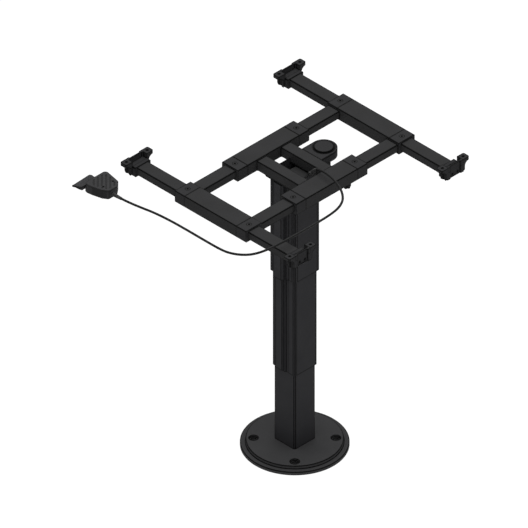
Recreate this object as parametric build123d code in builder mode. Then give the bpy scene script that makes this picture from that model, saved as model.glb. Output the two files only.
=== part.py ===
"""Electric lifting column with a sliding table frame, in millimetres.

The origin is the centre of the floor flange's underside, on the column's axis, and +Z is up.
The column stands fully raised, which is how its joints are at rest. The front is towards -Y.
"""

import math
import os

from build123d import *

os.makedirs("parts", exist_ok=True)

# Floor flange
flange_diameter = 240
flange_rim_thickness = 8
flange_step_diameter = 215
flange_thickness = 16
flange_edge_radius = 1.5
bolt_circle_diameter = 180
bolt_count = 4
bolt_hole_diameter = 13
bolt_recess_diameter = 21
bolt_recess_depth = 5
relief_diameter = 150
relief_depth = 3
relief_land = 4

# Column tubes, each square, each sliding inside the next
top_tube_width = 78
top_tube_wall = 3
top_tube_corner = 10
middle_tube_gap = 1
middle_tube_wall = 2
lower_tube_gap = 0.5
lower_tube_wall = 3

# How much of each tube shows when the column is raised, and how far each stage comes down
lower_reveal = 198
middle_reveal = 253
top_tube_length = 268
stage_travel = 170
end_gap = 2

# Screw ports in the lower tube, and the screws that hold it on the flange
port_inset = 8
port_diameter = 11
port_screw_diameter = 6.6
base_screw_length = 34
base_screw_head_diameter = 13
base_screw_socket = 5
base_screw_socket_depth = 2.5
screw_clearance = 0.4

# Key rib on the front of the middle tube, with flanks at 45 degrees, a groove and a recess
key_rib_height = 3.5
key_rib_left = -21
key_rib_right = 4.7
key_groove_start = -2.2
key_recess_start = 8.5
key_recess_end = 15.7
key_recess_depth = 1

# Hollow track rib on the front of the top tube, with a slot along its right flank
track_rib_height = 12.5
track_rib_left = -13.6
track_rib_right = 8.1
track_bore_right = -0.5
track_slot_start = 7
track_slot_width = 5
track_slot_depth = 4

# Head of the column: notches for the crossbars, the bearing plate and the belt window
notch_depth = 14
notch_half_width = 22
plate_drop = 37
plate_thickness = 10
window_half_width = 21.5

# Lift drive: a solid screw in the head and a hollow one in the middle tube, with a nut for each
screw_diameter = 14
screw_journal_diameter = 12
screw_top_diameter = 10
screw_top_rise = 18
screw_tail = 76
hex_driver_width = 17
hex_driver_length = 22
hex_clearance = 0.05
hollow_screw_diameter = 26
running_gap = 0.05
hollow_foot_gap = 4
collar_diameter = 32
collar_thickness = 4
collar_gap = 0.2
collar_pocket_diameter = 35
collar_pocket_height = 9
carrier_height = 51
carrier_floor = 17
upper_nut_wall = 6
upper_nut_flange = 5
upper_nut_flange_thickness = 5
carrier_bearing_diameter = 42
carrier_bearing_height = 12
head_bearing_diameter = 32
race_width = 2
race_depth = 0.6
stand_tube_diameter = 40
stand_tube_bore = 30
stand_foot_diameter = 52
stand_foot_thickness = 6
lower_nut_height = 30
lower_nut_spigot = 8
lower_nut_grip = 8

# Glide pads, each in a pocket near the top of the tube that carries it
lower_pad_width = 30
lower_pad_height = 40
lower_pocket_depth = 1.5
middle_pad_width = 32
middle_pad_height = 32
middle_pocket_depth = 1
front_pad_width = 9
front_pad_centre = 21.5
pad_clearance = 0.1
pad_margin = 4

# Belt drive from the motor to the screw
motor_distance = 90
belt_width = 9
belt_thickness = 1.5
belt_gap = 0.3
screw_pulley_radius = 18
motor_pulley_radius = 9
pulley_flange_height = 1.5
pulley_flange_thickness = 1.2
pulley_lift = 6
pulley_hub_radius = 8
belt_case_height = 22
belt_case_wall = 2
belt_case_front_radius = 23.5
belt_case_rear_radius = 15
belt_case_hole_radius = 9
motor_shaft_diameter = 6

# Motor housing behind the rear crossbar
motor_case_radius = 30
motor_case_rise = 9
motor_case_height = 20
motor_case_floor = 3
motor_lid_thickness = 2.5
motor_neck_radius = 14
motor_cap_diameter = 44
motor_cap_height = 3
cap_groove_width = 1.6
cap_groove_depth = 1
stator_outer_diameter = 46
stator_inner_diameter = 30
stator_height = 11
rotor_diameter = 28
rotor_gap = 0.5

# Table frame: sleeves, the guides at their ends, and the tubes that slide in them
sleeve_width = 50
sleeve_height = 30
sleeve_length = 220
sleeve_wall = 2.5
sleeve_corner = 2
sleeve_rise = 18
sleeve_distance = 90
cross_sleeve_offset = 236
guide_length = 30
guide_spigot = 6
guide_gap = 0.15
slide_tube_width = 35
slide_tube_height = 20
slide_tube_wall = 2
slide_tube_corner = 2.5
rail_insert = 44
arm_insert = 41
arm_reach = 241
clamp_screw_diameter = 10
clamp_screw_gap = 0.3
clamp_screw_socket = 5
clamp_screw_socket_depth = 2.5

# Crossbars that tie the central sleeves to the column, each with a saddle plate under it
crossbar_width = 30
crossbar_height = 25
crossbar_wall = 2
crossbar_corner = 2
saddle_overhang = 4
saddle_thickness = 4

# End brackets that carry the tabletop
bracket_socket_depth = 7.5
bracket_flange_thickness = 9.5
flange_half_width = 24
flange_height = 25
flange_corner = 3
socket_gap = 0.1
web_thickness = 19
web_half_width = 28.5
web_foot = 10
web_top_drop = 12
web_foot_radius = 7
web_recess_depth = 7
web_recess_half_width = 15.5
web_recess_floor = 4
ear_rise = 9
ear_thickness = 8
ear_half_span = 42.5
ear_inner = 22
ear_corner = 4
ear_flare_radius = 12
ear_hole_diameter = 5.5
ear_hole_distance = 64
ear_pocket_diameter = 12
dimple_diameter = 5
dimple_offset = 8
dimple_depth = 2

# Lock knob under the right central sleeve
knob_diameter = 21
knob_height = 17
knob_drop = 25.5
knob_hub_diameter = 14
knob_hub_gap = 0.3
knob_rim_radius = 2
knob_y = 70
knob_lobes = 6
knob_scallop_radius = 4
knob_stud_diameter = 6
knob_stud_gap = 0.1

# Hand switch, whose place is under the tabletop, and its rocking paddle
switch_height = 26
switch_wall = 2.4
switch_floor = 3
switch_lid_thickness = 2.5
switch_corner = 8
switch_bottom_radius = 6
switch_post_diameter = 9
switch_hole_diameter = 4.5
switch_hole_x = -222
switch_hole_y = -355
switch_hole_spacing = 30
switch_groove_width = 2
switch_groove_pitch = 9
switch_groove_count = 7
switch_groove_depth = 1
switch_groove_inset = 6
paddle_front = -383
paddle_rear = -348
paddle_thickness = 8
paddle_side_gap = 1
paddle_window_height = 15
paddle_corner = 2
paddle_pivot_x = -257
paddle_tail_length = 8
paddle_tail_width = 20
paddle_tail_thickness = 5
paddle_pin_diameter = 4
pin_lug_thickness = 3
pin_lug_width = 7
contact_length = 6
contact_width = 14
contact_height = 4

# Cable from the head of the column to the hand switch, and the glands at its ends
cable_diameter = 5.5
gland_diameter = 9
gland_length = 7
gland_block_width = 12
gland_block_length = 12
gland_block_height = 7

# The cable's route, chosen by hand: over the right sleeve and arm, then round to the switch. The
# heights are from the top of the table frame.
cable_route = [
    (42.5, 12, -11.5),
    (51, 10, 0.5),
    (63, 8, 9.5),
    (84, 5, 15.5),
    (110, 2, 16),
    (138, -6, 15.5),
    (166, -20, 15),
    (190, -40, 15),
    (204, -66, 15),
    (210, -98, 15),
    (211.5, -150, 15),
    (211, -205, 15),
    (209, -255, 15),
    (206, -297, 15),
    (195, -327, 14),
    (174, -345, 12),
    (146, -353, 8),
    (114, -350, 2),
    (60, -343, -5),
    (0, -337.5, -10),
    (-47, -335.5, -12.5),
    (-94, -339, -12.5),
    (-123, -346.5, -11),
    (-150, -354.5, -8),
    (-177, -360.5, -5),
    (-202, -360.5, -5),
]

# Outlines of the hand switch and of its paddle, seen from above
switch_outline = [
    (-262, -322),
    (-262, -390),
    (-240, -387),
    (-216, -381),
    (-202, -372),
    (-202, -346),
    (-213, -332),
]
paddle_outline = [
    (-257, -348),
    (-264, -348),
    (-281, -346),
    (-288, -399),
    (-284, -403),
    (-267, -397),
    (-264, -383),
    (-257, -383),
]

# Sizes of the tubes and brackets that follow from the ones that they fit
top_inner = top_tube_width / 2 - top_tube_wall
middle_tube_width = 2 * (top_inner - middle_tube_gap)
middle_inner = middle_tube_width / 2 - middle_tube_wall
lower_tube_width = 2 * (middle_inner - lower_tube_gap)
middle_tube_corner = top_tube_corner - top_tube_wall
lower_tube_corner = middle_tube_corner - middle_tube_wall
port_offset = lower_tube_width / 2 - port_inset
saddle_half_length = top_tube_width / 2 + saddle_overhang
flange_start = arm_reach - bracket_socket_depth
web_start = flange_start + bracket_flange_thickness

# Heights and places that follow from the sizes above
middle_bottom = flange_thickness + lower_reveal
top_bottom = middle_bottom + middle_reveal
top_tube_top = top_bottom + top_tube_length
frame_top = top_tube_top + sleeve_rise
frame_middle = frame_top - sleeve_height / 2
frame_bottom = frame_top - sleeve_height
saddle_bottom = top_tube_top - notch_depth
crossbar_bottom = saddle_bottom + saddle_thickness
crossbar_offset = notch_half_width + crossbar_width / 2
crossbar_back = notch_half_width + crossbar_width
plate_top = top_tube_top - plate_drop
plate_bottom = plate_top - plate_thickness
middle_top = plate_bottom - stage_travel - end_gap
carrier_bottom = middle_top - carrier_height
lower_top = carrier_bottom - stage_travel - end_gap
hollow_bottom = flange_thickness + hollow_foot_gap + stage_travel
lower_nut_bottom = hollow_bottom + lower_nut_grip
slide_bottom = frame_middle - slide_tube_height / 2
slide_top = frame_middle + slide_tube_height / 2
belt_bottom = plate_top + pulley_lift + pulley_flange_thickness
belt_case_top = plate_top + belt_case_height
motor_case_bottom = belt_case_top + motor_case_rise
motor_case_top = motor_case_bottom + motor_case_height
ear_top = frame_top + ear_rise
ear_bottom = ear_top - ear_thickness
web_bottom = frame_middle - web_foot
switch_top = ear_top
switch_bottom = switch_top - switch_height
switch_lid_bottom = switch_top - switch_lid_thickness
switch_middle = (switch_bottom + switch_top) / 2
cross_sleeve_inner = cross_sleeve_offset - sleeve_width / 2
cable_points = [(x, y, frame_top + rise) for x, y, rise in cable_route]
cable_start, cable_end = cable_points[0], cable_points[-1]
low = (Align.CENTER, Align.CENTER, Align.MIN)


def save(part, name):
    """Label a finished piece and write it to a file of its own."""
    part.label = name
    export_step(part, f"parts/{name}.step")


def along_x(centre):
    """Give the plane of a section that is carried along X, with its own Y upwards."""
    return Plane(origin=centre, x_dir=(0, 1, 0), z_dir=(1, 0, 0))


def along_y(centre):
    """Give the plane of a section that is carried along Y, with its own Y upwards."""
    return Plane(origin=centre, x_dir=(1, 0, 0), z_dir=(0, -1, 0))


def box_tube(plane, width, height, length, wall, corner):
    """Make a rectangular tube whose middle is at the plane's origin."""
    with BuildPart() as tube:
        with BuildSketch(plane):
            RectangleRounded(width, height, corner)
            Rectangle(width - 2 * wall, height - 2 * wall, mode=Mode.SUBTRACT)
        extrude(amount=length / 2, both=True)
    return tube.part


def bearing(outer, inner, height, bottom):
    """Make a bearing: a ring with a shallow groove between its two races on either face."""
    middle = (outer + inner) / 4
    with BuildPart() as ring:
        with BuildSketch(Plane.XY.offset(bottom)):
            Circle(outer / 2)
            Circle(inner / 2, mode=Mode.SUBTRACT)
        extrude(amount=height)
        for face_height in (bottom, bottom + height - race_depth):
            with BuildSketch(Plane.XY.offset(face_height)):
                Circle(middle + race_width)
                Circle(middle - race_width, mode=Mode.SUBTRACT)
            extrude(amount=race_depth, mode=Mode.SUBTRACT)
    return ring.part


def draw_link(front_radius, rear_radius, mode=Mode.ADD):
    """Draw a circle on the column's axis and one on the motor's, joined by their tangents."""
    lean = math.asin((front_radius - rear_radius) / motor_distance)
    reach, lift = math.cos(lean), math.sin(lean)
    front = (front_radius * reach, front_radius * lift)
    rear = (rear_radius * reach, motor_distance + rear_radius * lift)
    Circle(front_radius, mode=mode)
    with Locations((0, motor_distance)):
        Circle(rear_radius, mode=mode)
    Polygon(front, rear, (-rear[0], rear[1]), (-front[0], front[1]), align=None, mode=mode)


# Floor flange: a stepped disc with recessed holes for the floor bolts and a relief underneath
with BuildPart() as base_flange:
    Cylinder(flange_diameter / 2, flange_rim_thickness, align=low)
    Cylinder(flange_step_diameter / 2, flange_thickness, align=low)
    round_edges = base_flange.edges().filter_by(GeomType.CIRCLE).group_by(Axis.Z)
    rim_edge = round_edges[1].sort_by(SortBy.RADIUS)[-1]
    fillet(round_edges[-1] + [rim_edge], flange_edge_radius)
    with Locations((0, 0, flange_thickness)):
        with PolarLocations(bolt_circle_diameter / 2, bolt_count, start_angle=45):
            CounterBoreHole(bolt_hole_diameter / 2, bolt_recess_diameter / 2, bolt_recess_depth)
    with BuildSketch():
        Circle(relief_diameter / 2)
        Circle(stand_foot_diameter / 2, mode=Mode.SUBTRACT)
        with GridLocations(2 * port_offset, 2 * port_offset, 2, 2):
            Circle(base_screw_head_diameter / 2 + relief_land, mode=Mode.SUBTRACT)
    extrude(amount=relief_depth, mode=Mode.SUBTRACT)
    with Locations(Plane.XY.rotated((180, 0, 0))):
        with GridLocations(2 * port_offset, 2 * port_offset, 2, 2):
            CounterSinkHole(
                (port_screw_diameter + screw_clearance) / 2,
                (base_screw_head_diameter + screw_clearance) / 2,
                counter_sink_angle=90,
            )
save(base_flange.part, "base_flange")

# Countersunk screws from below, which hold the lower tube on the flange
with BuildPart() as base_screws:
    screw_head_height = (base_screw_head_diameter - port_screw_diameter) / 2
    with GridLocations(2 * port_offset, 2 * port_offset, 2, 2):
        Cone(base_screw_head_diameter / 2, port_screw_diameter / 2, screw_head_height, align=low)
        Cylinder(port_screw_diameter / 2, base_screw_length, align=low)
    with BuildSketch():
        with GridLocations(2 * port_offset, 2 * port_offset, 2, 2):
            RegularPolygon(base_screw_socket / 2, 6, major_radius=False)
    extrude(amount=base_screw_socket_depth, mode=Mode.SUBTRACT)
save(base_screws.part, "base_screws")

# Lower tube: an extrusion with a screw port in each corner and pockets for its glide pads
lower_pad_middle = lower_top - pad_margin - lower_pad_height / 2
with BuildPart() as lower_tube:
    with BuildSketch(Plane.XY.offset(flange_thickness)):
        RectangleRounded(lower_tube_width, lower_tube_width, lower_tube_corner)
        lower_bore = lower_tube_width - 2 * lower_tube_wall
        Rectangle(lower_bore, lower_bore, mode=Mode.SUBTRACT)
        with GridLocations(2 * port_offset, 2 * port_offset, 2, 2):
            Circle(port_diameter / 2)
            Circle(port_screw_diameter / 2, mode=Mode.SUBTRACT)
    extrude(amount=lower_top - flange_thickness)
    with Locations((0, 0, lower_pad_middle)):
        with PolarLocations(lower_tube_width / 2, 4):
            Box(2 * lower_pocket_depth, lower_pad_width, lower_pad_height, mode=Mode.SUBTRACT)
save(lower_tube.part, "lower_tube")

lower_pad_thickness = lower_pocket_depth + middle_inner - lower_tube_width / 2 - pad_clearance
with BuildPart() as lower_glides:
    with Locations((0, 0, lower_pad_middle)):
        with PolarLocations(lower_tube_width / 2 - lower_pocket_depth + lower_pad_thickness / 2, 4):
            Box(lower_pad_thickness, lower_pad_width, lower_pad_height)
save(lower_glides.part, "lower_glides")

# Stand tube, which holds the lower nut up from the flange
lower_nut_shoulder = lower_nut_bottom + lower_nut_spigot
with BuildPart() as stand_tube:
    with BuildSketch(Plane.XY.offset(flange_thickness)):
        Circle(stand_foot_diameter / 2)
        Circle(stand_tube_bore / 2, mode=Mode.SUBTRACT)
    extrude(amount=stand_foot_thickness)
    with BuildSketch(Plane.XY.offset(flange_thickness)):
        Circle(stand_tube_diameter / 2)
        Circle(stand_tube_bore / 2, mode=Mode.SUBTRACT)
    extrude(amount=lower_nut_shoulder - flange_thickness)
save(stand_tube.part, "stand_tube")

hollow_running_radius = hollow_screw_diameter / 2 + running_gap
with BuildPart() as lower_nut:
    with BuildSketch(Plane.XY.offset(lower_nut_bottom)):
        Circle(stand_tube_bore / 2)
        Circle(hollow_running_radius, mode=Mode.SUBTRACT)
    extrude(amount=lower_nut_spigot)
    with BuildSketch(Plane.XY.offset(lower_nut_shoulder)):
        Circle(stand_tube_diameter / 2)
        Circle(hollow_running_radius, mode=Mode.SUBTRACT)
    extrude(amount=lower_nut_height)
save(lower_nut.part, "lower_nut")

# Middle tube: an extrusion with the grooved key rib on its front, and pockets for glide pads
middle_face = middle_tube_width / 2
key_crest = -middle_face - key_rib_height
key_groove_half = (key_rib_right - key_groove_start) / 2
middle_pad_middle = middle_top - pad_margin - middle_pad_height / 2
with BuildPart() as middle_tube:
    with BuildSketch(Plane.XY.offset(middle_bottom)):
        RectangleRounded(middle_tube_width, middle_tube_width, middle_tube_corner)
        Polygon(
            (key_rib_left - key_rib_height, -middle_face),
            (key_rib_left, key_crest),
            (key_rib_right, key_crest),
            (key_rib_right + key_rib_height, -middle_face),
            (0, 0),
            align=None,
        )
        Polygon(
            (key_groove_start, key_crest),
            (key_groove_start + key_groove_half, key_crest + key_groove_half),
            (key_rib_right, key_crest),
            align=None,
            mode=Mode.SUBTRACT,
        )
        with Locations(((key_recess_start + key_recess_end) / 2, -middle_face)):
            Rectangle(key_recess_end - key_recess_start, 2 * key_recess_depth, mode=Mode.SUBTRACT)
        RectangleRounded(
            2 * middle_inner,
            2 * middle_inner,
            middle_tube_corner - middle_tube_wall,
            mode=Mode.SUBTRACT,
        )
    extrude(amount=middle_top - middle_bottom)
    with Locations((0, 0, middle_pad_middle)):
        with PolarLocations(middle_face, 3, angular_range=270):
            Box(2 * middle_pocket_depth, middle_pad_width, middle_pad_height, mode=Mode.SUBTRACT)
        with Locations((front_pad_centre, -middle_face)):
            Box(front_pad_width, 2 * middle_pocket_depth, middle_pad_height, mode=Mode.SUBTRACT)
save(middle_tube.part, "middle_tube")

middle_pad_thickness = middle_pocket_depth + top_inner - middle_face - pad_clearance
middle_pad_offset = middle_face - middle_pocket_depth + middle_pad_thickness / 2
with BuildPart() as middle_glides:
    with Locations((0, 0, middle_pad_middle)):
        with PolarLocations(middle_pad_offset, 3, angular_range=270):
            Box(middle_pad_thickness, middle_pad_width, middle_pad_height)
        with Locations((front_pad_centre, -middle_pad_offset)):
            Box(front_pad_width, middle_pad_thickness, middle_pad_height)
save(middle_glides.part, "middle_glides")

# Screw carrier: the block in the top of the middle tube, bored for the upper nut and the bearing
upper_nut_radius = screw_diameter / 2 + upper_nut_wall
upper_nut_flange_radius = upper_nut_radius + upper_nut_flange
upper_nut_shoulder = middle_top - upper_nut_flange_thickness
collar_pocket_bottom = carrier_bottom + carrier_floor
collar_pocket_top = collar_pocket_bottom + collar_pocket_height
carrier_bearing_bottom = collar_pocket_bottom - carrier_bearing_height
with BuildPart() as screw_carrier:
    with BuildSketch(Plane.XY.offset(carrier_bottom)):
        RectangleRounded(2 * middle_inner, 2 * middle_inner, middle_tube_corner - middle_tube_wall)
    extrude(amount=carrier_height)
    for bore_bottom, bore_top, bore_radius in (
        (carrier_bottom, collar_pocket_bottom, carrier_bearing_diameter / 2),
        (collar_pocket_bottom, collar_pocket_top, collar_pocket_diameter / 2),
        (collar_pocket_top, upper_nut_shoulder, upper_nut_radius),
        (upper_nut_shoulder, middle_top, upper_nut_flange_radius),
    ):
        with BuildSketch(Plane.XY.offset(bore_bottom)):
            Circle(bore_radius)
        extrude(amount=bore_top - bore_bottom, mode=Mode.SUBTRACT)
save(screw_carrier.part, "screw_carrier")

with BuildPart() as upper_nut:
    for nut_bottom, nut_top, nut_radius in (
        (collar_pocket_top, upper_nut_shoulder, upper_nut_radius),
        (upper_nut_shoulder, middle_top, upper_nut_flange_radius),
    ):
        with BuildSketch(Plane.XY.offset(nut_bottom)):
            Circle(nut_radius)
            Circle(screw_diameter / 2 + running_gap, mode=Mode.SUBTRACT)
        extrude(amount=nut_top - nut_bottom)
save(upper_nut.part, "upper_nut")

carrier_bearing = bearing(
    carrier_bearing_diameter,
    2 * hollow_running_radius,
    carrier_bearing_height,
    carrier_bearing_bottom,
)
save(carrier_bearing, "carrier_bearing")

with BuildPart() as bearing_retainer:
    with BuildSketch(Plane.XY.offset(carrier_bottom)):
        Circle(carrier_bearing_diameter / 2)
        Circle(collar_pocket_diameter / 2, mode=Mode.SUBTRACT)
    extrude(amount=carrier_bearing_bottom - carrier_bottom)
save(bearing_retainer.part, "bearing_retainer")

# Hollow screw: turns in the carrier, with a collar above and below the bearing and a hexagon bore
upper_collar_bottom = collar_pocket_bottom + collar_gap
lower_collar_bottom = carrier_bearing_bottom - collar_gap - collar_thickness
hollow_top = upper_collar_bottom + collar_thickness
with BuildPart() as hollow_screw:
    with BuildSketch(Plane.XY.offset(hollow_bottom)):
        Circle(hollow_screw_diameter / 2)
    extrude(amount=hollow_top - hollow_bottom)
    for collar_bottom in (upper_collar_bottom, lower_collar_bottom):
        with BuildSketch(Plane.XY.offset(collar_bottom)):
            Circle(collar_diameter / 2)
        extrude(amount=collar_thickness)
    with BuildSketch(Plane.XY.offset(hollow_bottom)):
        RegularPolygon(hex_driver_width / 2 + hex_clearance, 6, major_radius=False)
    extrude(amount=hollow_top - hollow_bottom, mode=Mode.SUBTRACT)
save(hollow_screw.part, "hollow_screw")

# Drive screw: hangs in the head's bearing, with a hexagon driver at its foot
driver_bottom = middle_top - screw_tail
screw_shoulder = plate_bottom - collar_gap
pulley_seat = plate_top + collar_gap
with BuildPart() as drive_screw:
    with BuildSketch(Plane.XY.offset(driver_bottom)):
        RegularPolygon(hex_driver_width / 2, 6, major_radius=False)
    extrude(amount=hex_driver_length)
    for rod_bottom, rod_top, rod_diameter in (
        (driver_bottom, screw_shoulder, screw_diameter),
        (screw_shoulder, pulley_seat, screw_journal_diameter),
        (pulley_seat, plate_top + screw_top_rise, screw_top_diameter),
    ):
        with BuildSketch(Plane.XY.offset(rod_bottom)):
            Circle(rod_diameter / 2)
        extrude(amount=rod_top - rod_bottom)
save(drive_screw.part, "drive_screw")

# Top tube: an extrusion with the hollow track rib on its front, notched for the crossbars
diagonal = math.hypot(1, 1)
track_face = -top_tube_width / 2 - track_rib_height
track_bore_front = track_face + top_tube_wall
track_bore_rise = -top_inner - track_bore_front
track_bore_left = track_rib_left + track_face + top_tube_wall * diagonal - track_bore_front
slot_middle = (track_slot_start + track_slot_width / 2) / diagonal
with BuildPart() as top_tube:
    with BuildSketch(Plane.XY.offset(top_bottom)):
        RectangleRounded(top_tube_width, top_tube_width, top_tube_corner)
        Polygon(
            (track_rib_left - track_rib_height, track_face + track_rib_height),
            (track_rib_left, track_face),
            (track_rib_right, track_face),
            (track_rib_right + track_rib_height, track_face + track_rib_height),
            (0, 0),
            align=None,
        )
        RectangleRounded(
            2 * top_inner, 2 * top_inner, top_tube_corner - top_tube_wall, mode=Mode.SUBTRACT
        )
        Polygon(
            (track_bore_left - track_bore_rise, -top_inner),
            (track_bore_left, track_bore_front),
            (track_bore_right, track_bore_front),
            (track_bore_right + track_bore_rise, -top_inner),
            (0, 0),
            align=None,
            mode=Mode.SUBTRACT,
        )
        with Locations((track_rib_right + slot_middle, track_face + slot_middle)):
            Rectangle(track_slot_width, 2 * track_slot_depth, rotation=45, mode=Mode.SUBTRACT)
    extrude(amount=top_tube_length)
    with BuildSketch(Plane.XY.offset(saddle_bottom)):
        Rectangle(2 * top_tube_width, 2 * top_tube_width)
        Rectangle(2 * top_tube_width, 2 * notch_half_width, mode=Mode.SUBTRACT)
    extrude(amount=notch_depth, mode=Mode.SUBTRACT)
    with BuildSketch(Plane.XY.offset(plate_top)):
        with Locations((0, top_inner + top_tube_wall / 2)):
            Rectangle(2 * window_half_width, 2 * top_tube_wall)
    extrude(amount=plate_drop, mode=Mode.SUBTRACT)
save(top_tube.part, "top_tube")

with BuildPart() as bearing_plate:
    with BuildSketch(Plane.XY.offset(plate_bottom)):
        RectangleRounded(2 * top_inner, 2 * top_inner, top_tube_corner - top_tube_wall)
        Circle(head_bearing_diameter / 2, mode=Mode.SUBTRACT)
    extrude(amount=plate_thickness)
save(bearing_plate.part, "bearing_plate")

head_bearing = bearing(
    head_bearing_diameter,
    screw_journal_diameter + 2 * running_gap,
    plate_thickness,
    plate_bottom,
)
save(head_bearing, "head_bearing")


def pulley(centre_y, radius, bore, hub_bottom):
    """Make a flanged belt pulley, with a hub that starts at the given height."""
    seat_top = belt_bottom + belt_width + belt_gap
    flange_radius = radius + pulley_flange_height
    with BuildPart() as wheel:
        for start, end, disc_radius in (
            (hub_bottom, belt_bottom - pulley_flange_thickness, pulley_hub_radius),
            (belt_bottom - pulley_flange_thickness, belt_bottom, flange_radius),
            (belt_bottom, seat_top, radius),
            (seat_top, seat_top + pulley_flange_thickness, flange_radius),
        ):
            with BuildSketch(Plane((0, centre_y, start))):
                Circle(disc_radius)
                Circle(bore / 2, mode=Mode.SUBTRACT)
            extrude(amount=end - start)
    return wheel.part


motor_hub_bottom = plate_top + belt_case_wall + belt_gap
save(pulley(0, screw_pulley_radius, screw_top_diameter, pulley_seat), "screw_pulley")
save(
    pulley(motor_distance, motor_pulley_radius, motor_shaft_diameter, motor_hub_bottom),
    "motor_pulley",
)

# Belt, its case on the bearing plate, and the case's cover
belt_inset = belt_gap + belt_thickness
with BuildPart() as drive_belt:
    with BuildSketch(Plane.XY.offset(belt_bottom + belt_gap / 2)):
        draw_link(screw_pulley_radius + belt_inset, motor_pulley_radius + belt_inset)
        draw_link(screw_pulley_radius + belt_gap, motor_pulley_radius + belt_gap, Mode.SUBTRACT)
    extrude(amount=belt_width)
save(drive_belt.part, "drive_belt")

belt_cover_bottom = belt_case_top - belt_case_wall
with BuildPart() as belt_case:
    with BuildSketch(Plane.XY.offset(plate_top)):
        draw_link(belt_case_front_radius, belt_case_rear_radius)
        Circle(belt_case_hole_radius, mode=Mode.SUBTRACT)
    extrude(amount=belt_case_wall)
    with BuildSketch(Plane.XY.offset(plate_top + belt_case_wall)):
        draw_link(belt_case_front_radius, belt_case_rear_radius)
        draw_link(
            belt_case_front_radius - belt_case_wall,
            belt_case_rear_radius - belt_case_wall,
            Mode.SUBTRACT,
        )
    extrude(amount=belt_cover_bottom - plate_top - belt_case_wall)
save(belt_case.part, "belt_case")

motor_axis = (0, motor_distance)
shaft_bore_radius = motor_shaft_diameter / 2 + running_gap
with BuildPart() as belt_cover:
    with BuildSketch(Plane.XY.offset(belt_cover_bottom)):
        draw_link(belt_case_front_radius, belt_case_rear_radius)
        with Locations(motor_axis):
            Circle(shaft_bore_radius, mode=Mode.SUBTRACT)
    extrude(amount=belt_case_wall)
save(belt_cover.part, "belt_cover")


def draw_motor_outline():
    """Draw the motor housing's outline: round behind, and square against the crossbar."""
    with Locations((0, (crossbar_back + motor_distance) / 2)):
        Rectangle(2 * motor_case_radius, motor_distance - crossbar_back)
    with Locations(motor_axis):
        Circle(motor_case_radius)


# Motor housing, its lid with the raised cap, the stator, and the rotor on its shaft
motor_floor = motor_case_bottom + motor_case_floor
motor_lid_bottom = motor_case_top - motor_lid_thickness
with BuildPart() as motor_case:
    with BuildSketch(Plane.XY.offset(motor_case_bottom)):
        draw_motor_outline()
    extrude(amount=motor_lid_bottom - motor_case_bottom)
    with BuildSketch(Plane.XY.offset(belt_case_top)):
        with Locations(motor_axis):
            Circle(motor_neck_radius)
    extrude(amount=motor_case_rise)
    with BuildSketch(Plane.XY.offset(motor_floor)):
        with Locations(motor_axis):
            Circle(stator_outer_diameter / 2)
    extrude(amount=motor_lid_bottom - motor_floor, mode=Mode.SUBTRACT)
    with BuildSketch(Plane.XY.offset(belt_case_top)):
        with Locations(motor_axis):
            Circle(shaft_bore_radius)
    extrude(amount=motor_floor - belt_case_top, mode=Mode.SUBTRACT)
save(motor_case.part, "motor_case")

cap_radius = motor_cap_diameter / 2
with BuildPart() as motor_lid:
    with BuildSketch(Plane.XY.offset(motor_lid_bottom)):
        draw_motor_outline()
    extrude(amount=motor_lid_thickness)
    with BuildSketch(Plane.XY.offset(motor_case_top)):
        with Locations(motor_axis):
            Circle(cap_radius)
    extrude(amount=motor_cap_height)
    fillet(motor_lid.edges().group_by(Axis.Z)[-1], flange_edge_radius)
    with BuildSketch(Plane.XY.offset(motor_case_top)):
        with Locations(motor_axis):
            Circle(cap_radius + 2 * cap_groove_width)
            Circle(cap_radius + cap_groove_width, mode=Mode.SUBTRACT)
    extrude(amount=-cap_groove_depth, mode=Mode.SUBTRACT)
save(motor_lid.part, "motor_lid")

with BuildPart() as motor_stator:
    with BuildSketch(Plane.XY.offset(motor_floor)):
        with Locations(motor_axis):
            Circle(stator_outer_diameter / 2)
            Circle(stator_inner_diameter / 2, mode=Mode.SUBTRACT)
    extrude(amount=stator_height)
save(motor_stator.part, "motor_stator")

with BuildPart() as motor_rotor:
    with BuildSketch(Plane.XY.offset(motor_floor + rotor_gap)):
        with Locations(motor_axis):
            Circle(rotor_diameter / 2)
    extrude(amount=stator_height)
    with BuildSketch(Plane.XY.offset(motor_hub_bottom)):
        with Locations(motor_axis):
            Circle(motor_shaft_diameter / 2)
    extrude(amount=motor_lid_bottom - rotor_gap - motor_hub_bottom)
save(motor_rotor.part, "motor_rotor")

# Crossbars between the central sleeves, on bevelled saddle plates across the column's end
crossbar_length = 2 * sleeve_distance - sleeve_width
saddle_foot = saddle_half_length - saddle_thickness
for side, name in ((-1, "front"), (1, "rear")):
    with BuildPart() as crossbar:
        centre = (0, side * crossbar_offset, crossbar_bottom + crossbar_height / 2)
        add(
            box_tube(
                along_x(centre),
                crossbar_width,
                crossbar_height,
                crossbar_length,
                crossbar_wall,
                crossbar_corner,
            )
        )
        with BuildSketch(along_y((0, side * crossbar_offset, crossbar_bottom))):
            Polygon(
                (-saddle_half_length, 0),
                (-saddle_foot, -saddle_thickness),
                (saddle_foot, -saddle_thickness),
                (saddle_half_length, 0),
                align=None,
            )
        extrude(amount=crossbar_width / 2 - crossbar_corner, both=True)
    save(crossbar.part, f"{name}_crossbar")


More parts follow.
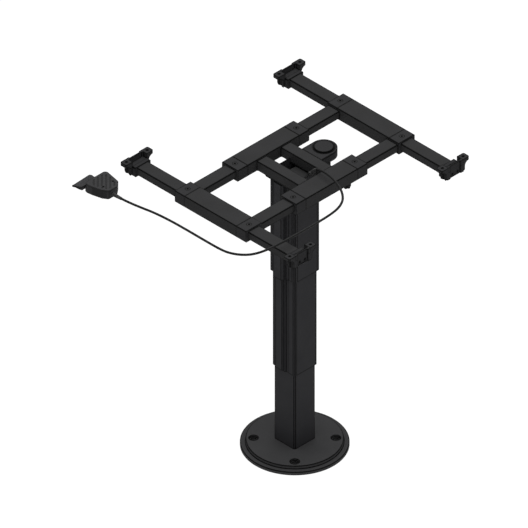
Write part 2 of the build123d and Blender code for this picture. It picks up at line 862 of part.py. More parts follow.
def guide(plane):
    """Make a guide in the end of a sleeve, on a plane at that end that faces outwards."""
    opening_width = slide_tube_width + 2 * guide_gap
    opening_height = slide_tube_height + 2 * guide_gap
    screw_plane = Plane(
        origin=plane.origin + plane.z_dir * (guide_length / 2) + Vector(0, 0, sleeve_height / 2)
    )
    with BuildPart() as block:
        with BuildSketch(plane):
            RectangleRounded(sleeve_width, sleeve_height, sleeve_corner)
        extrude(amount=guide_length)
        with BuildSketch(plane):
            Rectangle(sleeve_width - 2 * sleeve_wall, sleeve_height - 2 * sleeve_wall)
        extrude(amount=-guide_spigot)
        with BuildSketch(plane):
            RectangleRounded(opening_width, opening_height, slide_tube_corner + guide_gap)
        extrude(amount=guide_length, both=True, mode=Mode.SUBTRACT)
        with BuildSketch(screw_plane):
            Circle(clamp_screw_diameter / 2)
        extrude(amount=-sleeve_height / 2, mode=Mode.SUBTRACT)
    return block.part


def clamp_screw(plane):
    """Make the grub screw in the top of the guide that stands on the same plane."""
    base = plane.origin + plane.z_dir * (guide_length / 2)
    bottom = slide_top + clamp_screw_gap
    with BuildPart() as screw:
        with BuildSketch(Plane((base.X, base.Y, bottom))):
            Circle(clamp_screw_diameter / 2)
        extrude(amount=frame_top - bottom)
        with BuildSketch(Plane((base.X, base.Y, frame_top))):
            RegularPolygon(clamp_screw_socket / 2, 6, major_radius=False)
        extrude(amount=-clamp_screw_socket_depth, mode=Mode.SUBTRACT)
    return screw.part


# Central sleeves, in line with the crossbars' ends; the right one is drilled for the lock knob
sleeve_body_half = sleeve_length / 2 - guide_length
stud_hole_radius = knob_stud_diameter / 2 + running_gap
for side, name in ((-1, "left"), (1, "right")):
    with BuildPart() as sleeve:
        centre = (side * sleeve_distance, 0, frame_middle)
        add(
            box_tube(
                along_y(centre),
                sleeve_width,
                sleeve_height,
                2 * sleeve_body_half,
                sleeve_wall,
                sleeve_corner,
            )
        )
        if side > 0:
            with BuildSketch(Plane((sleeve_distance, knob_y, frame_bottom))):
                Circle(stud_hole_radius)
            extrude(amount=sleeve_wall, mode=Mode.SUBTRACT)
    save(sleeve.part, f"{name}_sleeve")

central_planes = [
    Plane(
        origin=(side * sleeve_distance, end * sleeve_body_half, frame_middle),
        x_dir=(1, 0, 0),
        z_dir=(0, end, 0),
    )
    for side in (-1, 1)
    for end in (-1, 1)
]
with BuildPart() as central_guides:
    for plane in central_planes:
        add(guide(plane))
save(central_guides.part, "central_guides")

with BuildPart() as central_clamp_screws:
    for plane in central_planes:
        add(clamp_screw(plane))
save(central_clamp_screws.part, "central_clamp_screws")

# Front and rear extensions: a cross sleeve on two rails, with guides for the arms
rail_start = sleeve_length / 2 - rail_insert
rail_length = cross_sleeve_inner - rail_start
for end, end_name in ((-1, "front"), (1, "rear")):
    cross_sleeve = box_tube(
        along_x((0, end * cross_sleeve_offset, frame_middle)),
        sleeve_width,
        sleeve_height,
        2 * sleeve_body_half,
        sleeve_wall,
        sleeve_corner,
    )
    save(cross_sleeve, f"{end_name}_sleeve")
    for side, side_name in ((-1, "left"), (1, "right")):
        rail_middle = end * (rail_start + rail_length / 2)
        rail = box_tube(
            along_y((side * sleeve_distance, rail_middle, frame_middle)),
            slide_tube_width,
            slide_tube_height,
            rail_length,
            slide_tube_wall,
            slide_tube_corner,
        )
        save(rail, f"{end_name}_{side_name}_rail")
    arm_planes = [
        Plane(
            origin=(side * sleeve_body_half, end * cross_sleeve_offset, frame_middle),
            x_dir=(0, 1, 0),
            z_dir=(side, 0, 0),
        )
        for side in (-1, 1)
    ]
    with BuildPart() as arm_guides:
        for plane in arm_planes:
            add(guide(plane))
    save(arm_guides.part, f"{end_name}_guides")
    with BuildPart() as arm_clamp_screws:
        for plane in arm_planes:
            add(clamp_screw(plane))
    save(arm_clamp_screws.part, f"{end_name}_clamp_screws")


def bracket(side, centre_y):
    """Make an end bracket: a socket for the arm, and a web with two ears for the tabletop."""
    face_x = side * (web_start + web_thickness)
    socket_width = slide_tube_width + 2 * socket_gap
    socket_height = slide_tube_height + 2 * socket_gap
    with BuildPart() as casting:
        with BuildSketch(along_x((side * web_start, centre_y, 0))) as profile:
            Polygon(
                (-ear_half_span, ear_top),
                (-ear_inner, ear_top),
                (-ear_inner, ear_top - web_top_drop),
                (ear_inner, ear_top - web_top_drop),
                (ear_inner, ear_top),
                (ear_half_span, ear_top),
                (ear_half_span, ear_bottom),
                (web_half_width, ear_bottom),
                (web_half_width, web_bottom),
                (-web_half_width, web_bottom),
                (-web_half_width, ear_bottom),
                (-ear_half_span, ear_bottom),
                align=None,
            )
            under_ears = profile.vertices().filter_by(lambda v: abs(v.Y - ear_bottom) < 0.01)
            fillet(under_ears.sort_by(Axis.X)[1:3], ear_flare_radius)
        extrude(amount=side * web_thickness)
        foot_edges = casting.edges().filter_by(Axis.Y).group_by(Axis.Z)[0].sort_by(Axis.X)
        fillet(foot_edges[-1 if side > 0 else 0], web_foot_radius)
        ear_edges = casting.edges().filter_by(Axis.Z).sort_by(Axis.Y)
        fillet(ear_edges[:2] + ear_edges[-2:], ear_corner)
        with BuildSketch(along_x((side * flange_start, centre_y, frame_middle))):
            RectangleRounded(2 * flange_half_width, flange_height, flange_corner)
        extrude(amount=side * (web_start - flange_start))
        with BuildSketch(along_x((side * flange_start, centre_y, frame_middle))):
            RectangleRounded(socket_width, socket_height, slide_tube_corner + socket_gap)
        extrude(amount=side * (arm_reach + socket_gap - flange_start), mode=Mode.SUBTRACT)
        recess_bottom = web_bottom + web_recess_floor
        with Locations((face_x, centre_y, (recess_bottom + ear_top) / 2)):
            Box(
                2 * web_recess_depth,
                2 * web_recess_half_width,
                ear_top - recess_bottom,
                mode=Mode.SUBTRACT,
            )
        recess_x = face_x - side * web_recess_depth
        with BuildSketch(along_x((recess_x, centre_y, frame_middle))):
            with GridLocations(2 * dimple_offset, 0, 2, 1):
                Circle(dimple_diameter / 2)
        extrude(amount=-side * dimple_depth, mode=Mode.SUBTRACT)
        ear_x = side * (web_start + web_thickness / 2)
        with BuildSketch(Plane((ear_x, centre_y, web_bottom))):
            with GridLocations(0, ear_hole_distance, 1, 2):
                Circle(ear_pocket_diameter / 2)
        extrude(amount=ear_bottom - web_bottom, mode=Mode.SUBTRACT)
        with BuildSketch(Plane((ear_x, centre_y, ear_bottom))):
            with GridLocations(0, ear_hole_distance, 1, 2):
                Circle(ear_hole_diameter / 2)
        extrude(amount=ear_thickness, mode=Mode.SUBTRACT)
    return casting.part


# Arms with their end brackets
arm_start = sleeve_length / 2 - arm_insert
arm_length = arm_reach - arm_start
for end, end_name in ((-1, "front"), (1, "rear")):
    for side, side_name in ((-1, "left"), (1, "right")):
        arm_middle = side * (arm_start + arm_length / 2)
        arm = box_tube(
            along_x((arm_middle, end * cross_sleeve_offset, frame_middle)),
            slide_tube_width,
            slide_tube_height,
            arm_length,
            slide_tube_wall,
            slide_tube_corner,
        )
        save(arm, f"{end_name}_{side_name}_arm")
        save(bracket(side, end * cross_sleeve_offset), f"{end_name}_{side_name}_bracket")

# Lock knob: a lobed grip with its stud, which reaches up through the sleeve to just below the rail
knob_bottom = frame_bottom - knob_drop
with BuildPart() as lock_knob:
    with Locations((sleeve_distance, knob_y, knob_bottom)):
        Cylinder(knob_diameter / 2, knob_height, align=low)
        fillet(lock_knob.edges().filter_by(GeomType.CIRCLE), knob_rim_radius)
        with PolarLocations(knob_diameter / 2 + knob_scallop_radius / 2, knob_lobes):
            Cylinder(knob_scallop_radius, knob_height, align=low, mode=Mode.SUBTRACT)
        Cylinder(knob_hub_diameter / 2, knob_drop - knob_hub_gap, align=low)
        Cylinder(
            knob_stud_diameter / 2, slide_bottom - knob_stud_gap - knob_bottom, align=low
        )
save(lock_knob.part, "lock_knob")


def switch_face(inset):
    """Make the hand switch's rounded outline, drawn in by the given amount."""
    with BuildSketch() as face:
        Polygon(*switch_outline, align=None)
        fillet(face.vertices(), switch_corner)
        if inset:
            offset(amount=-inset)
    return face.sketch


# Hand switch: a cast shell with two screw posts, a window for the paddle and lugs for its pin
switch_inside = switch_bottom + switch_floor
paddle_middle = (paddle_front + paddle_rear) / 2
paddle_width = paddle_rear - paddle_front
lug_spread = (paddle_width + 2 * paddle_side_gap + pin_lug_thickness) / 2
with BuildPart() as switch_housing:
    with BuildSketch(Plane.XY.offset(switch_bottom)):
        add(switch_face(0))
    extrude(amount=switch_lid_bottom - switch_bottom)
    fillet(switch_housing.edges().group_by(Axis.Z)[0], switch_bottom_radius)
    with BuildSketch(Plane.XY.offset(switch_inside)):
        add(switch_face(switch_wall))
        with Locations((switch_hole_x, switch_hole_y)):
            with GridLocations(0, switch_hole_spacing, 1, 2):
                Circle(switch_post_diameter / 2, mode=Mode.SUBTRACT)
    extrude(amount=switch_height, mode=Mode.SUBTRACT)
    with Locations((switch_outline[0][0], paddle_middle, switch_middle)):
        Box(
            2 * (paddle_pivot_x - switch_outline[0][0]),
            paddle_width + 2 * paddle_side_gap,
            paddle_window_height,
            mode=Mode.SUBTRACT,
        )
    for lug_y in (paddle_middle - lug_spread, paddle_middle + lug_spread):
        with Locations((paddle_pivot_x, lug_y, switch_inside)):
            Box(
                pin_lug_width,
                pin_lug_thickness,
                switch_middle + pin_lug_width / 2 - switch_inside,
                align=low,
            )
    with BuildSketch(along_y((paddle_pivot_x, paddle_middle, switch_middle))):
        Circle(paddle_pin_diameter / 2)
    extrude(amount=lug_spread + pin_lug_thickness / 2, both=True, mode=Mode.SUBTRACT)
    with BuildSketch(Plane.XY.offset(switch_bottom)):
        with Locations((switch_hole_x, switch_hole_y)):
            with GridLocations(0, switch_hole_spacing, 1, 2):
                Circle(switch_hole_diameter / 2)
    extrude(amount=switch_height, mode=Mode.SUBTRACT)
save(switch_housing.part, "switch_housing")

with BuildPart() as switch_lid:
    with BuildSketch(Plane.XY.offset(switch_lid_bottom)):
        add(switch_face(0))
        with Locations((switch_hole_x, switch_hole_y)):
            with GridLocations(0, switch_hole_spacing, 1, 2):
                Circle(switch_hole_diameter / 2, mode=Mode.SUBTRACT)
    extrude(amount=switch_lid_thickness)
    with BuildSketch(Plane.XY.offset(switch_top)):
        lid_centre = (sum(p[0] for p in switch_outline) / len(switch_outline), switch_hole_y)
        with Locations(Location(lid_centre, 45)):
            with GridLocations(switch_groove_pitch, 0, switch_groove_count, 1):
                Rectangle(switch_groove_width, switch_groove_pitch * switch_groove_count)
        add(switch_face(switch_groove_inset), mode=Mode.INTERSECT)
        with Locations((switch_hole_x, switch_hole_y)):
            with GridLocations(0, switch_hole_spacing, 1, 2):
                Circle(switch_post_diameter / 2, mode=Mode.SUBTRACT)
    extrude(amount=-switch_groove_depth, mode=Mode.SUBTRACT)
save(switch_lid.part, "switch_lid")

with BuildPart() as paddle_pin:
    with BuildSketch(along_y((paddle_pivot_x, paddle_middle, switch_middle))):
        Circle(paddle_pin_diameter / 2)
    extrude(amount=lug_spread + pin_lug_thickness / 2, both=True)
save(paddle_pin.part, "paddle_pin")

# Two contact blocks, one under the paddle's tail and one over it
tail_middle = paddle_pivot_x + paddle_tail_length
with BuildPart() as switch_contacts:
    for contact_bottom in (switch_inside, switch_lid_bottom - contact_height):
        with Locations((tail_middle, paddle_middle, contact_bottom)):
            Box(contact_length, contact_width, contact_height, align=low)
save(switch_contacts.part, "switch_contacts")

with BuildPart() as paddle:
    with BuildSketch(Plane.XY.offset(switch_middle - paddle_thickness / 2)) as paddle_sketch:
        Polygon(*paddle_outline, align=None)
        fillet(paddle_sketch.vertices().sort_by(Axis.X)[:3], paddle_corner)
    extrude(amount=paddle_thickness)
    with BuildSketch(along_y((paddle_pivot_x, paddle_middle, switch_middle))):
        Circle(paddle_thickness / 2)
    extrude(amount=paddle_width / 2, both=True)
    with Locations((paddle_pivot_x, paddle_middle, switch_middle)):
        Box(
            paddle_tail_length,
            paddle_tail_width,
            paddle_tail_thickness,
            align=(Align.MIN, Align.CENTER, Align.CENTER),
        )
    with BuildSketch(along_y((paddle_pivot_x, paddle_middle, switch_middle))):
        Circle(paddle_pin_diameter / 2 + running_gap)
    extrude(amount=paddle_width, both=True, mode=Mode.SUBTRACT)
save(paddle.part, "paddle")


def gland(start, towards, length):
    """Make a gland's sleeve round the cable's end, open at the end that the cable leaves by."""
    mouth = Plane(origin=start, z_dir=Vector(*towards) - Vector(*start))
    with BuildPart() as tube:
        with BuildSketch(mouth):
            Circle(gland_diameter / 2)
        extrude(amount=length)
        with BuildSketch(mouth):
            Circle(cable_diameter / 2)
        extrude(amount=length, mode=Mode.SUBTRACT)
    return tube.part


# Cable glands: one on a block on the column's right wall, one on the side of the hand switch
first_run = Plane(origin=cable_start, z_dir=Vector(*cable_points[1]) - Vector(*cable_start))
with BuildPart() as cable_glands:
    block_x = top_inner + gland_block_width / 2
    with Locations((block_x, cable_start[1], top_tube_top)):
        Box(gland_block_width, gland_block_length, gland_block_height, align=low)
    with BuildSketch(first_run):
        Circle(cable_diameter / 2)
    extrude(amount=gland_block_height + gland_length, mode=Mode.SUBTRACT)
    add(gland(cable_start, cable_points[1], gland_length))
    add(gland(cable_end, cable_points[-2], gland_length))
save(cable_glands.part, "cable_glands")

# Cable: straight runs joined by arcs that take up most of the shorter run at each turn
radii = []
for before, here, after in zip(cable_points, cable_points[1:], cable_points[2:]):
    run_in = Vector(*here) - Vector(*before)
    run_out = Vector(*after) - Vector(*here)
    turn = math.radians(run_in.get_angle(run_out))
    radii.append(0.45 * min(run_in.length, run_out.length) / math.tan(turn / 2))
print("cable bend radii:", [round(radius, 1) for radius in radii])

with BuildPart() as cable:
    with BuildLine() as cable_path:
        FilletPolyline(*cable_points, radius=radii)
    with BuildSketch(first_run):
        Circle(cable_diameter / 2)
    sweep(path=cable_path.line)
cable_length = sum(edge.length for edge in cable_path.edges())
volume_length = cable.part.volume / (math.pi * cable_diameter**2 / 4)
print(f"cable length: {cable_length:.1f} mm, and from its volume {volume_length:.1f} mm")
save(cable.part, "cable")
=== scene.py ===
"""Finish the electric lifting column and light it in a plain pale studio.

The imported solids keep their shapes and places. This script gives each of them the surface that its real
material has, makes the pieces that only a mesh shows well, and sets up the floor, lamps and camera.
Lengths are metres, and millimetres where a name ends in _mm.
"""

import logging
import math
from dataclasses import dataclass, replace
from enum import Enum

import bpy
import numpy as np
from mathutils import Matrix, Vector


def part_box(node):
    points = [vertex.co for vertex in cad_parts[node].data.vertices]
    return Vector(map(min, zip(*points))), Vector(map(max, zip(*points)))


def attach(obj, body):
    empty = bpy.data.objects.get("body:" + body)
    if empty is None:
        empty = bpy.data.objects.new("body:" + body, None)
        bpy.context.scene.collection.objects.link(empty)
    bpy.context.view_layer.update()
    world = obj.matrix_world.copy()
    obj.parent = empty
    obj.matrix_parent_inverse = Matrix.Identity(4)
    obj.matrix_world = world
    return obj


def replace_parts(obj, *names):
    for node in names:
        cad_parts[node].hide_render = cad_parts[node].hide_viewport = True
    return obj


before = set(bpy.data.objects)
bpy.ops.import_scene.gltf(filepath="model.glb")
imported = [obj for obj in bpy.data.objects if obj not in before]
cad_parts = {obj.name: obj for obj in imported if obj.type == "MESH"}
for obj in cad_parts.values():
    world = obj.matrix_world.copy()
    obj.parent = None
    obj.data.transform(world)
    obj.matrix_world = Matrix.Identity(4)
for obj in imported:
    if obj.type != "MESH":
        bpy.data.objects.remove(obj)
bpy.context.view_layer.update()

LOG = logging.getLogger("lifting_column")
TURN = 2 * math.pi
ENDS = ("front", "rear")
SIDES = ("left", "right")

# An edge's line starts below the first of these and is full from the second down. They compare with
# the largest part of the rounded normal, which is 1 on a flat.
FLAT_ABOVE = 0.996
EDGE_BELOW = 0.97


def metres(millimetres: float | np.ndarray) -> float | np.ndarray:
    """Turn millimetres into metres.

    Args:
        millimetres: A length or an array of lengths.

    Returns:
        The same in metres.
    """
    return millimetres / 1000


def at_corners(part: str) -> tuple[str, ...]:
    """Name the piece at each of the table frame's four corners.

    Args:
        part: What the piece is.

    Returns:
        The four piece names.
    """
    return tuple(f"{end}_{side}_{part}" for end in ENDS for side in SIDES)


def box_mm(name: str) -> tuple[np.ndarray, np.ndarray]:
    """Give the corners of a solid's box.

    Args:
        name: The solid's piece name.

    Returns:
        The lowest and the highest corner in millimetres.
    """
    low, high = (np.array(corner) * 1000 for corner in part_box(name))
    return low, high


def linear(colour: str) -> tuple[float, ...]:
    """Turn an sRGB hex colour into linear light with full opacity.

    A channel c from 0 to 1 becomes c / 12.92 up to 0.04045, and above that (c + 0.055) / 1.055 to the
    power 2.4.

    Args:
        colour: The colour, such as "#2d2d2d".

    Returns:
        Red, green, blue and opacity.
    """
    channels = np.array([int(colour[i : i + 2], 16) for i in (1, 3, 5)]) / 255
    light = np.where(channels <= 0.04045, channels / 12.92, ((channels + 0.055) / 1.055) ** 2.4)
    return (*light.tolist(), 1.0)


def add_node(
    tree: bpy.types.NodeTree, kind: str, inputs: dict | None = None, **settings: object
) -> bpy.types.Node:
    """Add a node to a tree, with its settings and links.

    Args:
        tree: The node tree of a material or of the world.
        kind: The node's class name.
        inputs: A value, or the output socket to link, for each input's name or number.
        **settings: The node's own properties.

    Returns:
        The new node.
    """
    node = tree.nodes.new(kind)
    for name, value in settings.items():
        setattr(node, name, value)
    for name, value in (inputs or {}).items():
        if isinstance(value, bpy.types.NodeSocket):
            tree.links.new(value, node.inputs[name])
        else:
            node.inputs[name].default_value = value
    return node


def empty_tree(owner: bpy.types.Material | bpy.types.World) -> bpy.types.NodeTree:
    """Give the node tree of a material or of the world, cleared of its first nodes.

    Args:
        owner: The material or the world.

    Returns:
        Its node tree.
    """
    owner.use_nodes = True
    owner.node_tree.nodes.clear()
    return owner.node_tree


def add_object(name: str, data: bpy.types.ID) -> bpy.types.Object:
    """Put data into the scene as an object at the origin.

    Args:
        name: The object's name.
        data: Its mesh, curve, lamp or camera.

    Returns:
        The new object.
    """
    made = bpy.data.objects.new(name, data)
    bpy.context.scene.collection.objects.link(made)
    return made


class Body(Enum):
    """The moving bodies that new pieces ride on, by their names in the frame."""

    MIDDLE = "middle_stage"
    FRONT_LEFT = "front_left_arm"
    FRONT_RIGHT = "front_right_arm"
    REAR_LEFT = "rear_left_arm"
    REAR_RIGHT = "rear_right_arm"
    HEAD = "head"
    KNOB = "lock_knob"
    PADDLE = "paddle"
    FRONT = "front_extension"
    REAR = "rear_extension"


class Form(Enum):
    """Whether a piece has flat sides along the axes or is round about an upright axis."""

    SQUARE = "square"
    ROUND = "round"


@dataclass(frozen=True)
class Finish:
    """A surface: its colours, its gloss and the grain that its relief follows.

    Attributes:
        slot: The record's material slot, which also names the material.
        colour: The surface's main colour.
        shade: The colour that it drifts to in broad soft patches.
        line: The colour along its edges, where the drawing has its dark lines.
        metallic: How far it is bare metal.
        roughness: Its mean roughness.
        roughness_swing: How far the roughness drifts each way.
        specular: The strength of its mirror part, where 0.5 is the usual one.
        grain_mm: The size of one grain.
        relief_mm: The height of the grain.
        patch_mm: The size of a patch of drifting colour.
        edge_mm: The width of the line along an edge.
        form: The form of the pieces, which tells where their edges are.
    """

    slot: str
    colour: str
    shade: str
    line: str = "#020202"
    metallic: float = 0.0
    roughness: float = 0.55
    roughness_swing: float = 0.06
    specular: float = 0.5
    grain_mm: float = 1.4
    relief_mm: float = 0.08
    patch_mm: float = 45.0
    edge_mm: float = 3.8
    form: Form = Form.SQUARE

    def height(self, tree: bpy.types.NodeTree, place: bpy.types.NodeSocket) -> bpy.types.NodeSocket:
        """Give the relief's height from 0 to 1: a fine cloud of grains of one size.

        Args:
            tree: The material's node tree.
            place: The point in metres.

        Returns:
            The socket that carries the height.
        """
        grains = add_node(
            tree,
            "ShaderNodeTexNoise",
            {"Vector": place, "Scale": 1 / metres(self.grain_mm), "Detail": 3.0, "Roughness": 0.55},
        )
        return grains.outputs["Fac"]

    def edge(self, tree: bpy.types.NodeTree) -> bpy.types.NodeSocket:
        """Give 1 along the edges and 0 elsewhere.

        The normal n is taken as if each sharp edge was rounded off. On a square piece the share follows
        the largest of |nx|, |ny|, |nz|, and on an upright wall of (|nx| + |ny|) / sqrt(2) too, which are 1
        on a flat and less on an edge. On a round piece it follows the larger of |nz| and
        sqrt(1 - nz^2), which are 1 on a level face and on a wall.

        Args:
            tree: The material's node tree.

        Returns:
            The socket that carries the share of the line.
        """
        rounded = add_node(tree, "ShaderNodeBevel", {"Radius": metres(self.edge_mm)}, samples=8)
        sides = add_node(tree, "ShaderNodeVectorMath", {0: rounded.outputs["Normal"]}, operation="ABSOLUTE")
        split = add_node(tree, "ShaderNodeSeparateXYZ", {"Vector": sides.outputs["Vector"]}).outputs
        if self.form is Form.SQUARE:
            both = add_node(tree, "ShaderNodeMath", {0: split["X"], 1: split["Y"]}, operation="ADD")
            slant = add_node(
                tree, "ShaderNodeMath", {0: both.outputs["Value"], 1: math.sqrt(0.5)}, operation="MULTIPLY"
            )
            wall = add_node(tree, "ShaderNodeMath", {0: split["X"], 1: split["Y"]}, operation="MAXIMUM")
            upright = add_node(
                tree, "ShaderNodeMath", {0: wall.outputs[0], 1: slant.outputs[0]}, operation="MAXIMUM"
            )
        else:
            square = add_node(tree, "ShaderNodeMath", {0: split["Z"], 1: 2.0}, operation="POWER")
            rest = add_node(
                tree, "ShaderNodeMath", {0: 1.0, 1: square.outputs["Value"]}, operation="SUBTRACT"
            )
            upright = add_node(tree, "ShaderNodeMath", {0: rest.outputs["Value"]}, operation="SQRT")
        flat = add_node(
            tree, "ShaderNodeMath", {0: upright.outputs["Value"], 1: split["Z"]}, operation="MAXIMUM"
        )
        share = add_node(
            tree,
            "ShaderNodeMapRange",
            {"Value": flat.outputs["Value"], "From Min": FLAT_ABOVE, "From Max": EDGE_BELOW},
        )
        return share.outputs["Result"]

    def material(self) -> bpy.types.Material:
        """Make the material, or give the one that was made before.

        Returns:
            The material.
        """
        name = f"{self.slot}_{self.form.value}"
        known = bpy.data.materials.get(name)
        if known:
            return known
        made = bpy.data.materials.new(name)
        tree = empty_tree(made)
        place = add_node(tree, "ShaderNodeTexCoord").outputs["Object"]
        patches = add_node(
            tree,
            "ShaderNodeTexNoise",
            {"Vector": place, "Scale": 1 / metres(self.patch_mm), "Detail": 4.0},
        )
        drift = add_node(
            tree,
            "ShaderNodeMix",
            {0: patches.outputs["Fac"], 6: linear(self.colour), 7: linear(self.shade)},
            data_type="RGBA",
        )
        lined = add_node(
            tree,
            "ShaderNodeMix",
            {0: self.edge(tree), 6: drift.outputs[2], 7: linear(self.line)},
            data_type="RGBA",
        )
        gloss = add_node(
            tree,
            "ShaderNodeMapRange",
            {
                "Value": patches.outputs["Fac"],
                "To Min": self.roughness - self.roughness_swing,
                "To Max": self.roughness + self.roughness_swing,
            },
        )
        relief = add_node(
            tree,
            "ShaderNodeBump",
            {"Height": self.height(tree, place), "Distance": metres(self.relief_mm), "Strength": 1.0},
        )
        surface = add_node(
            tree,
            "ShaderNodeBsdfPrincipled",
            {
                "Base Color": lined.outputs[2],
                "Roughness": gloss.outputs["Result"],
                "Metallic": self.metallic,
                "Specular IOR Level": self.specular,
                "Normal": relief.outputs["Normal"],
            },
        )
        add_node(tree, "ShaderNodeOutputMaterial", {"Surface": surface.outputs["BSDF"]})
        return made

    def dress(self, piece: bpy.types.Object) -> None:
        """Put this finish on all of a piece.

        Args:
            piece: The piece, which loses the material that it had.
        """
        piece.data.materials.clear()
        piece.data.materials.append(self.material())


@dataclass(frozen=True)
class Drawn(Finish):
    """An extruded surface with fine lines along one axis, as the die leaves them.

    Attributes:
        along: How many times longer a grain is along X, Y and Z than across.
    """

    along: tuple[float, float, float] = (1.0, 1.0, 90.0)

    def height(self, tree: bpy.types.NodeTree, place: bpy.types.NodeSocket) -> bpy.types.NodeSocket:
        """Give the relief's height: the cloud of grains, stretched along the extrusion."""
        stretched = add_node(
            tree,
            "ShaderNodeMapping",
            {"Vector": place, "Scale": tuple(1 / share for share in self.along)},
        )
        return super().height(tree, stretched.outputs["Vector"])


@dataclass(frozen=True)
class Moulded(Finish):
    """A plastic surface with the pebbled grain of an etched mould."""

    def height(self, tree: bpy.types.NodeTree, place: bpy.types.NodeSocket) -> bpy.types.NodeSocket:
        """Give the relief's height: a low dome on each cell of a packed pattern."""
        cells = add_node(
            tree,
            "ShaderNodeTexVoronoi",
            {"Vector": place, "Scale": 1 / metres(self.grain_mm), "Randomness": 1.0},
            feature="SMOOTH_F1",
        )
        dome = add_node(
            tree,
            "ShaderNodeMapRange",
            {"Value": cells.outputs["Distance"], "From Max": 0.7, "To Min": 1.0, "To Max": 0.0},
        )
        return dome.outputs["Result"]


# Powder coat on steel: sprayed as powder and baked, a matt black skin with a slight orange peel. Its
# real peel is about 0.7 mm across, which this view can't show, so it is drawn twice as coarse.
POWDER_COAT = Finish("black_coat", "#323233", "#2c2c2c", roughness=0.7, specular=0.05)

# The same powder coat on the turned floor flange, painted lighter: the frame above shades the flange's top
# from the top lamp, and this lighter colour is painted light that lifts that top to the frame's brightness.
FLANGE_COAT_PAINTED_LIGHT = replace(POWDER_COAT, colour="#424243", shade="#3d3d3e", form=Form.ROUND)

# Black anodised aluminium: an extruded profile whose dyed skin lets the die lines show as a satin.
ANODISED = Drawn(
    "black_anodised",
    "#313133",
    "#2b2b2d",
    metallic=0.05,
    roughness=0.62,
    specular=0.06,
    grain_mm=1.1,
    relief_mm=0.05,
)

# Painted die casting: aluminium cast in a steel mould and sprayed black, a little rougher than the tubes.
CAST_PAINT = Finish(
    "cast_black", "#2d2d2e", "#272728", roughness=0.66, specular=0.06, grain_mm=2.0, relief_mm=0.14
)

# The same paint on the motor's housing and its turned cap.
MOTOR_PAINT = replace(CAST_PAINT, form=Form.ROUND)

# Nylon guides: black, injection moulded in an etched tool, matt.
GUIDE_NYLON = Moulded("guide_plastic", "#303031", "#2a2a2b", roughness=0.7, specular=0.06, grain_mm=1.2)

# Acetal glide pads: natural white, machined, slightly waxy.
ACETAL = Finish("glide_plastic", "#dedbd0", "#d3cfc2", "#8d897c", roughness=0.42, grain_mm=0.9)

# ABS of the hand switch: black, injection moulded with a fine leather grain.
SWITCH_ABS = Moulded(
    "switch_plastic", "#2a2a2b", "#242425", "#0a0a0b", roughness=0.6, specular=0.18, grain_mm=1.3
)
PADDLE_ABS = Moulded("paddle_plastic", "#303032", "#29292b", roughness=0.56, specular=0.2, grain_mm=1.1)

# Black oxide steel: fasteners blackened in a hot bath and oiled.
BLACK_OXIDE = Finish(
    "black_steel", "#2c2c2e", "#232325", "#090909", metallic=0.7, roughness=0.4, grain_mm=0.8
)

# Turned steel, bronze nuts and copper windings inside the column.
TURNED_STEEL = Drawn(
    "bright_steel", "#b9babd", "#a8a9ac", "#5e5f62", metallic=1.0, roughness=0.3, along=(60.0, 60.0, 1.0)
)
BRONZE = Drawn(
    "bronze", "#b0823f", "#9c7136", "#5c421f", metallic=1.0, roughness=0.34, along=(60.0, 60.0, 1.0)
)
COPPER = Finish("copper", "#a8592e", "#8e4823", "#4c2814", metallic=1.0, roughness=0.36, grain_mm=0.9)

# Belt rubber and the cable's PVC jacket.
BELT_RUBBER = Moulded("belt_rubber", "#2b2b2b", "#242424", "#0a0a0a", roughness=0.75, grain_mm=1.0)
JACKET_PVC = Finish(
    "cable_jacket",
    "#2d2d2e",
    "#272728",
    "#101010",
    roughness=0.6,
    specular=0.12,
    grain_mm=1.0,
    relief_mm=0.04,
)


def outward(points: np.ndarray, faces: np.ndarray) -> np.ndarray:
    """Turn the faces of a closed surface outwards.

    The volume is the sum over triangles of a . (b x c) / 6, and it is negative where they face inwards.

    Args:
        points: The vertices, one row each.
        faces: Rows of vertex numbers, three or four to a row.

    Returns:
        The faces, reversed where the volume was negative.
    """
    first, second, third = (points[faces[:, i]] for i in range(3))
    volume = np.einsum("ij,ij->i", first, np.cross(second, third)).sum()
    if faces.shape[1] == 4:
        fourth = points[faces[:, 3]]
        volume += np.einsum("ij,ij->i", first, np.cross(third, fourth)).sum()
    return faces[:, ::-1] if volume < 0 else faces


def ring_faces(rows: int, columns: int, closed: bool = False) -> np.ndarray:
    """List the quads of a grid whose columns close into rings.

    Args:
        rows: The number of rings.
        columns: The points on each ring.
        closed: Whether the last ring joins the first.

    Returns:
        One row of four vertex numbers for each quad.
    """
    ring = np.arange(rows if closed else rows - 1)[:, None]
    spot = np.arange(columns)[None, :]
    above, beside = (ring + 1) % rows, (spot + 1) % columns
    corners = (
        ring * columns + spot,
        ring * columns + beside,
        above * columns + beside,
        above * columns + spot,
    )
    return np.stack(corners, axis=-1).reshape(-1, 4)


def make_piece(
    name: str,
    points: np.ndarray,
    faces: np.ndarray,
    finish: Finish,
    body: Body,
    crease: float = 35.0,
) -> bpy.types.Object:
    """Make a mesh piece at the origin, dress it and let it ride.

    Args:
        name: The piece's name.
        points: The vertices in metres.
        faces: Rows of vertex numbers. A row may repeat a number where the quad closes on a pole.
        finish: The surface that it gets.
        body: The body that it moves with.
        crease: The angle in degrees above which an edge stays sharp.

    Returns:
        The new object.
    """
    mesh = bpy.data.meshes.new(name)
    mesh.from_pydata(points.tolist(), [], outward(points, faces).tolist())
    mesh.validate()
    mesh.polygons.foreach_set("use_smooth", np.ones(len(mesh.polygons), bool))
    mesh.set_sharp_from_angle(angle=math.radians(crease))
    piece = add_object(name, mesh)
    finish.dress(piece)
    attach(piece, body.value)
    LOG.info("%s: %d faces on %s", name, len(mesh.polygons), body.value)
    return piece


